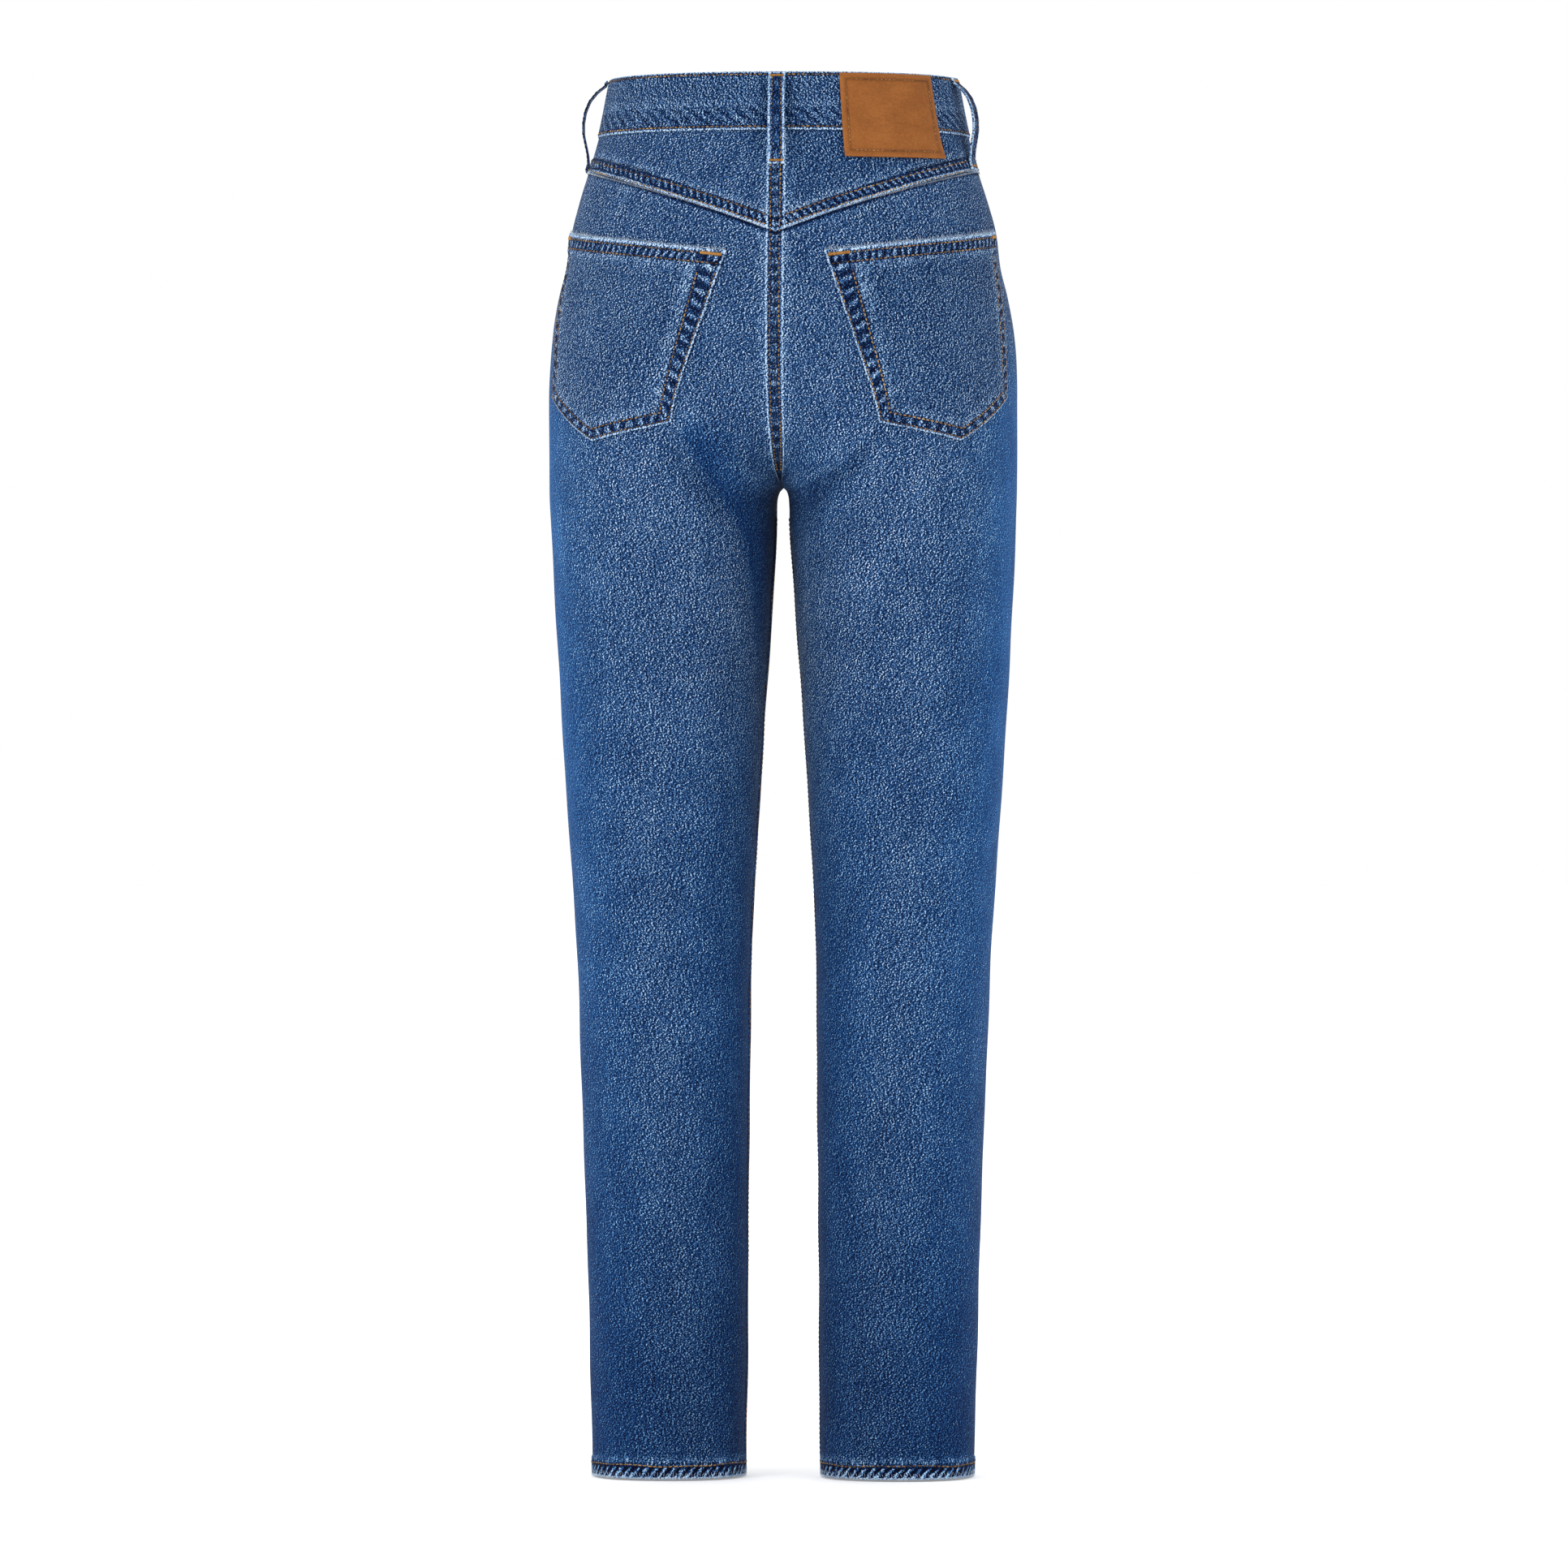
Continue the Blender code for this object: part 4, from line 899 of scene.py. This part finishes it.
band_full = 2 * float(half_round(np.array(BAND_HEIGHT / 2)))
around = np.linspace(-0.0015 / band_full, 2 + 0.034 / band_full, 341)[None, :]
edge = 0.0008 / band_full
around = np.sort(np.concatenate([around, around[:, :1] + edge, around[:, -1:] - edge], 1))
drop = np.array((
    0.0, 0.0003, 0.0009, 0.0018, 0.0032, 0.0050, 0.0080, 0.0115, 0.0150, 0.0185, 0.0220, 0.0255,
    0.0290, 0.0325, 0.0355, 0.0380, 0.0396, 0.0408, 0.0413, BAND_HEIGHT,
))[:, None] + 0 * around
edge = np.minimum(drop, BAND_HEIGHT - drop)
ends = np.minimum(around - around.min(), around.max() - around) * band_full
soft = np.sqrt(ramp(np.minimum(edge, ends), -0.0001, 0.0014))
# the shadow at each side of the back belt loop
tone = 1 - 0.45 * bell(np.abs(around - 1) * band_full, 0.0088, 0.0030)
band = make_cloth(
    "denim_waistband", lambda lift: band_place(drop, around, lift),
    (BAND_THICK * (0.55 + 0.45 * soft), BAND_THICK * 0.35 * (1 - soft)),
    (around * band_full, drop, tone), (BAND_HEIGHT - drop, drop, around * band_full), (0.0, 0.05),
    DENIM_BAND, DENIM_BAND,
)
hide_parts("waistband")

# Belt loops. Five folded strips, each tacked to the band's top edge and below its lower edge. They
# stand off the band in a bow, most at the sides, where they are pulled.
LOOP_WIDTH, LOOP_THICK, LOOP_TOP, LOOP_FOOT = 0.0120, 0.0018, 0.0008, 0.0665
# Name, side, at the front, length from the centre, height of the bow, height of the foot's seat.
LOOPS = (
    ("back", LEFT, False, 0.0, 0.0075, 0.0027), ("side_left", LEFT, False, 0.178, 0.0110, 0.0024),
    ("side_right", RIGHT, False, 0.156, 0.0100, 0.0024), ("front_left", LEFT, True, 0.070, 0.0095, 0.0018),
    ("front_right", RIGHT, True, 0.070, 0.0095, 0.0018),
)
LOOP_BOW = np.array((
    (0.0008, 0.00), (0.0045, 0.05), (0.0100, 0.50), (0.0170, 0.85), (0.0250, 1.00),
    (0.0330, 0.98), (0.0410, 0.82), (0.0480, 0.52), (0.0545, 0.22), (0.0600, 0.03), (0.0665, 0.00),
))
LOOP_SIDES = ("side", 0.0010, 0.0014, (0.0028,), 0.0034, 0.0075, 0.0130, 0.50, 0.35)
LOOP_ENDS = ("top", 0.0005, 0.0008, (), 0.0004, 0.0012, 0.0050, 0.60, 0.0)
DENIM_LOOP = dye_denim("denim_belt_loop", (LOOP_SIDES, LOOP_ENDS), ground=0.68, coarse=0.90)
# a darker copy with painted shade for the left side loop, seen edge-on, and without pale edges
DENIM_LOOP_SHADED = dye_denim("denim_side_loop_painted_shade", (("side", -0.0100, *LOOP_SIDES[2:]), LOOP_ENDS), ground=0.25)


def loop_place(loop, drop, across, lift):
    """Points of a belt loop: across is a length from its middle."""
    _, side, front, away, bow, foot = loop
    drop, across, lift = np.broadcast_arrays(drop, across, lift)
    share = np.interp(drop, LOOP_BOW[:, 0], LOOP_BOW[:, 1])[..., None]
    over_band = BAND_THICK + LIFT
    seat = over_band + (foot - over_band) * ramp(drop, 0.0455, 0.0600) + lift
    half = half_round(drop)
    scale = half / half_round(np.array(BAND_HEIGHT))
    middle_arc = away * scale - half if front else half - away * scale
    past = middle_arc + across > half
    reach = np.where(past, 2 * half - middle_arc - across, middle_arc + across)
    middle, out = bare(drop, middle_arc), outward(drop, middle_arc)
    round_way = np.stack([-out[..., 1], out[..., 0], 0 * out[..., 0]], -1)
    round_way /= np.linalg.norm(round_way, axis=-1, keepdims=True)
    hugging = bare(drop, reach) + outward(drop, reach) * seat[..., None]
    hugging[..., 0] *= np.where(past, -1, 1)
    flat = middle + round_way * across[..., None] + out * seat[..., None]
    points = hugging * (1 - share) + flat * share + out * bow * share
    points[..., 0] *= side
    return points


for loop in LOOPS:
    edge = np.array((0.0, 0.0004, 0.0011, 0.0022, 0.0036, 0.0048))
    across = np.concatenate([edge, [0.006], 0.012 - edge[::-1]])[None, :] - LOOP_WIDTH / 2
    ends = [LOOP_TOP, 0.0011, 0.0018, 0.0657, 0.0662, LOOP_FOOT]
    drop = np.unique(np.concatenate([ends, np.linspace(0.0030, 0.0645, 42)]))[:, None]
    from_edge = LOOP_WIDTH / 2 - np.abs(across) + 0 * drop
    ends = np.minimum(drop - LOOP_TOP, LOOP_FOOT - drop)
    soft = np.sqrt(ramp(np.minimum(from_edge, ends), -0.0001, 0.0010))
    dip = 0.00022 * bell(from_edge, LOOP_WIDTH / 2, 0.0022)
    name = loop[0]
    strip = make_cloth(
        f"denim_belt_loop_{name}", lambda lift: loop_place(loop, drop, across, lift),
        (LOOP_THICK * (0.55 + 0.45 * soft) - dip, LOOP_THICK * 0.35 * (1 - soft)),
        (across, drop, 1.0), (from_edge, ends, drop), (0.0, 0.05),
        DENIM_LOOP_SHADED if name == "side_left" else DENIM_LOOP,
    )
    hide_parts(f"belt_loop_{name}")

# Patch. A plain piece of thick tan leather, stitched on all round over the band's lower edge, on
# the right of the back. Its face is left bare.
PATCH_NEAR, PATCH_WIDE, PATCH_TOP, PATCH_FOOT, PATCH_THICK = 0.046, 0.075, 0.0012, 0.0610, 0.0016
PATCH_ROW = 0.0044


def patch_place(drop, from_back, lift):
    """Points of the patch: from_back is measured on the level of the band's lower edge."""
    over_band, over_yoke = BAND_THICK + LIFT, CLOTH + OVERLAY_LIFT + 0.0002
    base = over_band + (over_yoke - over_band) * ramp(drop, 0.0425, 0.0520)
    half = half_round(drop)
    scale = half / half_round(np.array(BAND_HEIGHT))
    return cloth_place(RIGHT, drop, half - from_back * scale, base + lift)


leather, shader, dye = start_material("tan_leather")
across, drop, _ = read_attribute(dye, "cloth")
from_edge = read_attribute(dye, "edges")[0]
grain = drop.speckle(across, 0.0007, 0.0007, 3.0, 2.0)
pore = drop.speckle(across, 0.0022, 0.0017, 3.0, 6.0)
cloud = drop.speckle(across, 0.018, 0.014, 2.0, 8.0)
row = from_edge.bell(PATCH_ROW, 0.0011)
rub = from_edge.bell(0.0, 0.0013)
level = 0.5 + (cloud - 0.5) * 0.45 + (pore - 0.5) * 0.45 + (grain - 0.5) * 0.60 - row * 0.22 + rub * 0.10
color = level.colors(
    (0.15, (0.110, 0.030, 0.004)), (0.50, (0.232, 0.074, 0.012)), (0.85, (0.340, 0.124, 0.026)),
)
height = grain * 0.06 + pore * 0.10 - row * 0.34 - rub * 0.12
join_shader(shader, color, 0.52 + (pore - 0.5) * 0.3, height, Specular_IOR_Level=0.18)

edge = np.array((0.0, 0.0005, 0.0014, 0.0028))
across = np.concatenate([edge, np.linspace(0.0044, 0.0706, 34), PATCH_WIDE - edge[::-1]])[None, :]
drop = np.concatenate([PATCH_TOP + edge, np.linspace(0.0056, 0.0566, 28), PATCH_FOOT - edge[::-1]])[:, None]
from_end = np.minimum(across, PATCH_WIDE - across)
from_edge = np.minimum(from_end, np.minimum(drop - PATCH_TOP, PATCH_FOOT - drop))
soft = np.sqrt(ramp(from_edge, -0.0001, 0.0012))
curl = 0.0007 * ramp(from_end, 0.010, 0.0) * ramp(drop, 0.048, PATCH_FOOT)
across, drop = np.broadcast_arrays(across, drop)
patch = make_cloth(
    "leather_patch_face", lambda lift: patch_place(drop, PATCH_NEAR + across, lift),
    (PATCH_THICK * (0.60 + 0.40 * soft) + curl, PATCH_THICK * 0.2 * (1 - soft) + curl),
    (-across, drop, 1.0), (from_edge, 0.0, 0.0), (0.0, 0.0), leather, leather,
)
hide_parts("leather_patch")

# Button. A plain metal jeans button in the left end of the waistband, over the right end: a
# domed ring round a sunk middle, on a short stem. The buttonhole is edged in close stitches.
BUTTON_ARC = 0.016
drop = np.array(BAND_HEIGHT / 2)
arc = BUTTON_ARC - half_round(drop)
seat, facing = Vector(bare(drop, arc)), Vector(outward(drop, arc))
bpy.ops.object.select_all(action="DESELECT")
bpy.ops.mesh.primitive_cylinder_add(vertices=48, radius=0.0040, depth=0.0020, location=(0, 0, 0.0010))
button = bpy.context.object
button.name = "jeans_button"
bpy.ops.object.transform_apply()
bpy.ops.object.mode_set(mode="EDIT")
bm = bmesh.from_edit_mesh(button.data)
for face in bm.faces:
    face.select_set(face.normal.z > 0.9)
bmesh.update_edit_mesh(button.data)
for wider, up in (
    (2.02, 0.0004), (1.04, 0.0007), (0.985, 0.0007), (0.93, 0.00045), (0.90, 0.0002),
    (0.90, -0.0001), (0.955, -0.0004), (0.97, -0.0001),
):
    bpy.ops.mesh.extrude_region_move(TRANSFORM_OT_translate={"value": (0, 0, up)})
    bpy.ops.transform.resize(value=(wider, wider, 1))
bpy.ops.mesh.inset(thickness=0.0012, depth=0.0)
bpy.ops.mesh.inset(thickness=0.0014, depth=0.0003)
bpy.ops.mesh.select_all(action="SELECT")
bpy.ops.mesh.normals_make_consistent(inside=False)
bpy.ops.object.mode_set(mode="OBJECT")
bpy.ops.object.modifier_add(type="SUBSURF")
button.modifiers[0].levels = 1
button.modifiers[0].render_levels = 1
bpy.ops.object.modifier_apply(modifier=button.modifiers[0].name)
bpy.ops.object.shade_smooth()
button.location = seat + facing * (BAND_THICK + LIFT)
button.rotation_euler = facing.to_track_quat("Z", "Y").to_euler()
bpy.ops.object.transform_apply()

brass, shader, dye = start_material("aged_brass")
spot, stain, scratch = dye.spots(900.0, 3.0), dye.spots(260.0, 2.0), dye.spots(2600.0, 1.0)
level = spot * 0.4 + stain * 0.6
color = level.colors(
    (0.36, (0.150, 0.090, 0.040)), (0.52, (0.420, 0.275, 0.135)), (0.66, (0.560, 0.400, 0.220)),
)
join_shader(shader, color, 0.24 + stain * 0.30, scratch * 0.02 + spot * 0.03, Metallic=1.0)
button.data.materials.append(brass)
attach(button, "root")
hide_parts("waist_button")

# Sewing. Tan thread in short lock stitches, two rows to each felled seam and pocket edge, and
# bar tacks where a seam ends or a belt loop is held. One stitch is made, and laid along each row.
bpy.ops.object.select_all(action="DESELECT")
bpy.ops.mesh.primitive_uv_sphere_add(segments=6, ring_count=4, radius=1.0)
stitch = bpy.context.object
bpy.ops.object.mode_set(mode="EDIT")
bpy.ops.mesh.select_all(action="SELECT")
bpy.ops.transform.rotate(value=math.radians(90), orient_axis="Y", center_override=(0, 0, 0))
bpy.ops.object.mode_set(mode="OBJECT")
STITCH = np.array([list(vert.co) for vert in stitch.data.vertices])
STITCH_FACES = [list(face.vertices) for face in stitch.data.polygons]
bpy.data.objects.remove(stitch)
chance = np.random.default_rng(7)


def lay_row(place, lift, pitch=0.0034, long=0.0026, wide=0.00110, tall=0.00065, skew=0.0, wild=0.05):
    """Stitches along a row. place(lift) gives close points of the row that far off the cloth."""
    low, high = place(lift), place(lift + 0.001)
    run = np.concatenate([[0], np.cumsum(np.linalg.norm(np.diff(low, axis=0), axis=1))])
    count = max(1, int(run[-1] / pitch))
    at = (np.arange(count) + 0.5) * run[-1] / count

    def points_at(lengths, points):
        return np.stack([np.interp(lengths, run, points[:, k]) for k in range(3)], -1)

    centres, up = points_at(at, low), points_at(at, high - low)
    along = points_at(np.minimum(at + 0.0006, run[-1]), low) - points_at(np.maximum(at - 0.0006, 0), low)
    along /= np.linalg.norm(along, axis=1, keepdims=True)
    up -= along * (up * along).sum(1, keepdims=True)
    up /= np.linalg.norm(up, axis=1, keepdims=True)
    beside = np.cross(up, along)
    swing = skew + chance.normal(0.0, wild, count)[:, None]
    cos, sin = np.cos(swing), np.sin(swing)
    along, beside = along * cos + beside * sin, beside * cos - along * sin
    size = 1 + chance.normal(0.0, 0.03 + wild * 0.6, (count, 1, 1))
    form = STITCH * np.array((long, wide, tall)) / 2
    points = centres[:, None] + size * form[None, :, :1] * along[:, None]
    return points + form[None, :, 1:2] * beside[:, None] + form[None, :, 2:] * up[:, None]


def lay_tack(place, lift, wide=0.0024):
    """A bar tack: stitches laid close across the row."""
    return lay_row(place, lift, 0.00042, wide, 0.00050, 0.00060, math.pi / 2 - 0.12)


def make_thread(name, rows, material):
    points = np.concatenate(rows)
    count, size = points.shape[:2]
    faces = [[k + n * size for k in face] for n in range(count) for face in STITCH_FACES]
    mesh = bpy.data.meshes.new(name)
    mesh.from_pydata(points.reshape(-1, 3).tolist(), [], faces)
    mesh.materials.append(material)
    tone = np.concatenate([np.full(len(row), chance.normal(0.5, 0.05)) for row in rows])
    tone = np.clip(tone + chance.normal(0.0, 0.10, count), 0, 1)
    layer = mesh.attributes.new("cloth", "FLOAT_VECTOR", "POINT")
    values = np.stack(np.broadcast_arrays(STITCH[None, :, 0], tone[:, None], 0.0), -1)
    layer.data.foreach_set("vector", values.reshape(-1).astype(np.float32))
    mesh.shade_smooth()
    obj = bpy.data.objects.new(name, mesh)
    bpy.context.scene.collection.objects.link(obj)
    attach(obj, "root")
    return obj


def dye_thread(name, stops):
    material, shader, dye = start_material(name)
    along, tone, _ = read_attribute(dye, "cloth")
    fuzz, worn = dye.spots(1500.0, 1.0), dye.spots(45.0, 2.0)
    twist = (along + fuzz * 0.15).wave(0.42)
    level = tone + (worn - 0.5) * 1.1 + (fuzz - 0.5) * 0.5 + (twist - 0.5) * 0.12 - along * along * 0.22
    join_shader(shader, level.colors(*stops), 0.75, twist * 0.05 + fuzz * 0.04, Specular_IOR_Level=0.2)
    return material


THREAD = dye_thread("tan_thread", (
    (0.15, (0.022, 0.013, 0.009)), (0.38, (0.110, 0.060, 0.020)),
    (0.60, (0.300, 0.170, 0.055)), (0.90, (0.480, 0.300, 0.120)),
))
TACK_THREAD = dye_thread("orange_thread", (
    (0.10, (0.160, 0.070, 0.015)), (0.50, (0.400, 0.190, 0.045)), (0.90, (0.560, 0.310, 0.100)),
))
RAISED = CLOTH + FOLD_RAISE
EVEN = np.linspace(0, 1, 241)
FELL_ROWS = (0.0018, 0.0046)


def cloth_row(side, drop, arc, lift=RAISED, lay=lay_row, **sizes):
    return lay(lambda up: cloth_place(side, drop, arc, up), lift, **sizes)


def pocket_row(side, path, lift, lay=lay_row, **sizes):
    return lay(lambda up: pocket_place(side, path[:, 0], path[:, 1], up), lift, **sizes)


def shifted(start, end, near, far):
    """The line between two corners, moved into the pocket by these lengths at its ends."""
    way = (end - start) / np.linalg.norm(end - start)
    inward = np.array((way[1], -way[0]))
    return start + inward * near, end + inward * far


def crossing(first, second):
    (p, q), (r, t) = first, second
    steps = np.linalg.solve(np.stack([q - p, r - t], -1), r - p)
    return p + (q - p) * steps[0]


seat_rows, leg_rows, pocket_rows, waist_rows, tack_rows, hem_rows = [], [], [], [], [], []
for side in (LEFT, RIGHT):
    # centre of the back, inside leg, and centre of the front below the fly
    drop = 0.0450 + (0.2790 - 0.0450) * EVEN
    seat_rows.append(cloth_row(side, drop, half_round(drop) - (0.0036 if side == LEFT else 0.0030)))
    drop = 0.3120 + (0.9805 - 0.3120) * np.linspace(0, 1, 900)
    for gap in FELL_ROWS:
        leg_rows.append(cloth_row(side, drop, half_round(drop) - gap))
    drop = 0.2150 + (0.2790 - 0.2150) * EVEN
    for gap in FELL_ROWS:
        seat_rows.append(cloth_row(side, drop, gap - half_round(drop)))
    # yoke
    across = np.linspace(0.0066, half_round(np.array(0.070)) + 0.009, 500)
    for up in (0.0027, 0.0094):
        drop = yoke_seam(across) - up
        seat_rows.append(cloth_row(side, drop, half_round(drop) - across))
    # pocket mouths at the front
    total = float(half_round(np.array(MOUTH_LEVEL)) - OUTSEAM_FORWARD)
    across = np.linspace(total - MOUTH_WIDTH, total - 0.0004, 500)
    for down in MOUTH_ROWS:
        drop = mouth(across) + down
        arc = np.minimum(across, half_round(drop) - OUTSEAM_FORWARD - 0.001) - half_round(drop)
        inside = drop > BAND_HEIGHT + 0.0015
        seat_rows.append(cloth_row(side, drop[inside], arc[inside], CLOTH))
    # hem, all round
    arc = np.linspace(-1, 1, 700) * float(half_round(np.array(0.985)))
    drop = HEM_DROP - 0.0094 + 0.0005 * np.sin(arc * 71.0 + side) + 0.0003 * np.sin(arc * 167.0)
    hem_rows.append(cloth_row(side, drop, arc, pitch=0.0037, long=0.0034, wide=0.0010, tall=0.0007))

    # back pocket: an outer row round the sides, an inner one, and two along the top
    a, b, c, d, e = (np.array(corner) for corner in POCKETS)
    for start_in, inset in ((SIDE_ROWS[0], SIDE_ROWS[0]), (SECOND_ROW_START, SIDE_ROWS[1])):
        lines = [
            shifted(a, b, start_in, inset), shifted(b, c, inset, inset),
            shifted(c, d, inset, inset), shifted(d, e, inset, inset),
        ]
        begin, finish = lines[0][0], lines[3][1]
        if start_in == SECOND_ROW_START:
            begin = begin + (lines[0][1] - begin) * 0.085
            finish = finish + (lines[3][0] - finish) * 0.080
        corners = [begin] + [crossing(one, two) for one, two in zip(lines, lines[1:])] + [finish]
        path = np.concatenate([
            start + (end - start) * np.linspace(0, 1, 160)[:-1, None]
            for start, end in zip(corners, corners[1:])
        ])
        pocket_rows.append(pocket_row(side, path, CLOTH))
    for down in TOP_ROWS:
        start = a + (b - a) * down / np.linalg.norm(b - a)
        end = e + (d - e) * down / np.linalg.norm(d - e)
        start, end = start + (end - start) * 0.010, end + (start - end) * 0.008
        pocket_rows.append(pocket_row(side, start + (end - start) * EVEN[:, None], RAISED))
    for corner, other, foot, long in ((a, e, b, 0.0150), (e, a, d, 0.0085)):
        way = (other - corner) / np.linalg.norm(other - corner)
        down = (foot - corner) / np.linalg.norm(foot - corner)
        path = corner + down * TOP_ROWS[0] + way * (0.0018 + long * EVEN[:, None])
        tack_rows.append(pocket_row(side, path, RAISED + 0.0002, lay_tack, wide=0.0027))

# fly: two rows in a J on the left front, one along its edge and a bar tack at its foot
for inset in (0.0030, 0.0095):
    radius = FLY_WIDTH - inset
    straight = np.linspace(BAND_HEIGHT + 0.001, FLY_FOOT - FLY_WIDTH, 300)
    turn = np.linspace(0, math.radians(84), 120)
    drop = np.concatenate([straight, FLY_FOOT - FLY_WIDTH + radius * np.sin(turn)])
    across = np.concatenate([np.full(300, radius), radius * np.cos(turn)])
    seat_rows.append(cloth_row(LEFT, drop, across - half_round(drop)))
drop = np.linspace(BAND_HEIGHT + 0.001, FLY_FOOT - 0.002, 300)
seat_rows.append(cloth_row(LEFT, drop, 0.0016 - half_round(drop)))
drop = np.linspace(FLY_FOOT - 0.016, FLY_FOOT - 0.004, 60)
tack_rows.append(cloth_row(LEFT, drop, 0.0022 - half_round(drop), RAISED + 0.0002, lay_tack))

# waistband: a row near each edge, and one across the front end
for level in (BAND_TOP_ROW, BAND_HEIGHT - BAND_FOOT_ROW):
    around = np.linspace(0.001 / band_full, 2 - 0.0008 / band_full, 2400)
    waist_rows.append(lay_row(lambda lift: band_place(level, around, lift), BAND_THICK))
level = np.linspace(BAND_TOP_ROW, BAND_HEIGHT - BAND_FOOT_ROW, 80)
waist_rows.append(lay_row(lambda lift: band_place(level, 0.001 / band_full, lift), BAND_THICK))

# belt loops: two rows down each, and a bar tack at each end
for loop in LOOPS:
    drop = np.linspace(0.0035, 0.0640, 200)
    for across in (-0.0032, 0.0032):
        waist_rows.append(lay_row(
            lambda lift: loop_place(loop, drop, across, lift), LOOP_THICK - 0.00005, wide=0.00065,
        ))
    across = np.linspace(-0.0050, 0.0050, 60)
    for level in (0.0032, 0.0642):
        tack_rows.append(lay_tack(
            lambda lift: loop_place(loop, level, across, lift), LOOP_THICK + 0.0001, 0.0019,
        ))

# patch: one row all round
near, far, top, foot = PATCH_ROW, PATCH_WIDE - PATCH_ROW, PATCH_TOP + PATCH_ROW, PATCH_FOOT - PATCH_ROW
ring = ((near, top), (far, top), (far, foot), (near, foot), (near, top))
for start, end in zip(ring, ring[1:]):
    path = np.array(start) + (np.array(end) - np.array(start)) * EVEN[:, None]
    waist_rows.append(lay_row(
        lambda lift: patch_place(path[:, 1], PATCH_NEAR + path[:, 0], lift), PATCH_THICK - 0.0001,
        pitch=0.0030, long=0.0022, wide=0.0006,
    ))

# buttonhole: a long eye of close stitches, from the button towards the side
turn = np.linspace(0, math.tau, 400)
across = BUTTON_ARC + 0.0060 + 0.0105 * np.cos(turn)
drop = BAND_HEIGHT / 2 + 0.0016 * np.sin(turn)
tack_rows.append(lay_row(
    lambda lift: band_place(drop, across / band_full, lift), BAND_THICK,
    pitch=0.00045, long=0.0024, wide=0.0005, tall=0.0006, skew=math.pi / 2,
))

make_thread("thread_seat", seat_rows, THREAD)
make_thread("thread_legs", leg_rows, THREAD)
make_thread("thread_pockets", pocket_rows, THREAD)
make_thread("thread_hems", hem_rows, THREAD)
make_thread("thread_waist", waist_rows, THREAD)
make_thread("thread_tacks", tack_rows, TACK_THREAD)

# Fraying. The pale ends of cut and worn yarns, along the tops of the back pockets, the folds of the
# hems and the yoke seam. Each is a stitch made thin and laid across the edge.
FRAY = dye_thread("pale_yarn", (
    (0.10, (0.160, 0.230, 0.340)), (0.50, (0.420, 0.490, 0.580)), (0.90, (0.700, 0.730, 0.750)),
))


def lay_tufts(place, lift, pitch, long, wild=0.55):
    """Loose yarn ends, each pointing its own way across an edge."""
    return lay_row(place, lift, pitch, long, 0.00026, 0.00024, math.pi / 2, wild)


tufts = []
for side in (LEFT, RIGHT):
    a, e = np.array(POCKETS[0]), np.array(POCKETS[4])
    for down, pitch, long in ((0.0003, 0.00045, 0.0026), (0.0014, 0.0007, 0.0020), (-0.0004, 0.0021, 0.0046)):
        path = a + (e - a) * (0.004 + 0.992 * EVEN[:, None]) + np.array((0.0, down))
        tufts.append(pocket_row(side, path, CLOTH, lay_tufts, pitch=pitch, long=long))
    arc = np.linspace(-1, 1, 700) * float(half_round(np.array(0.985)))
    for up, pitch, long in ((0.0006, 0.0009, 0.0020), (0.0032, 0.0022, 0.0034), (0.0125, 0.0030, 0.0036)):
        lift = RAISED if up < HEM_HEIGHT else CLOTH
        tufts.append(cloth_row(side, HEM_DROP - up, arc, lift, lay_tufts, pitch=pitch, long=long, wild=0.35))
    across = np.linspace(0.0070, half_round(np.array(0.070)) + 0.009, 500)
    for up, pitch, long in ((0.0006, 0.0009, 0.0018), (0.0116, 0.0021, 0.0034)):
        drop = yoke_seam(across) - up
        arc = half_round(drop) - across
        lift = RAISED if up < YOKE_FELL else CLOTH
        tufts.append(cloth_row(side, drop, arc, lift, lay_tufts, pitch=pitch, long=long, wild=0.30))
make_thread("frayed_yarns", tufts, FRAY)
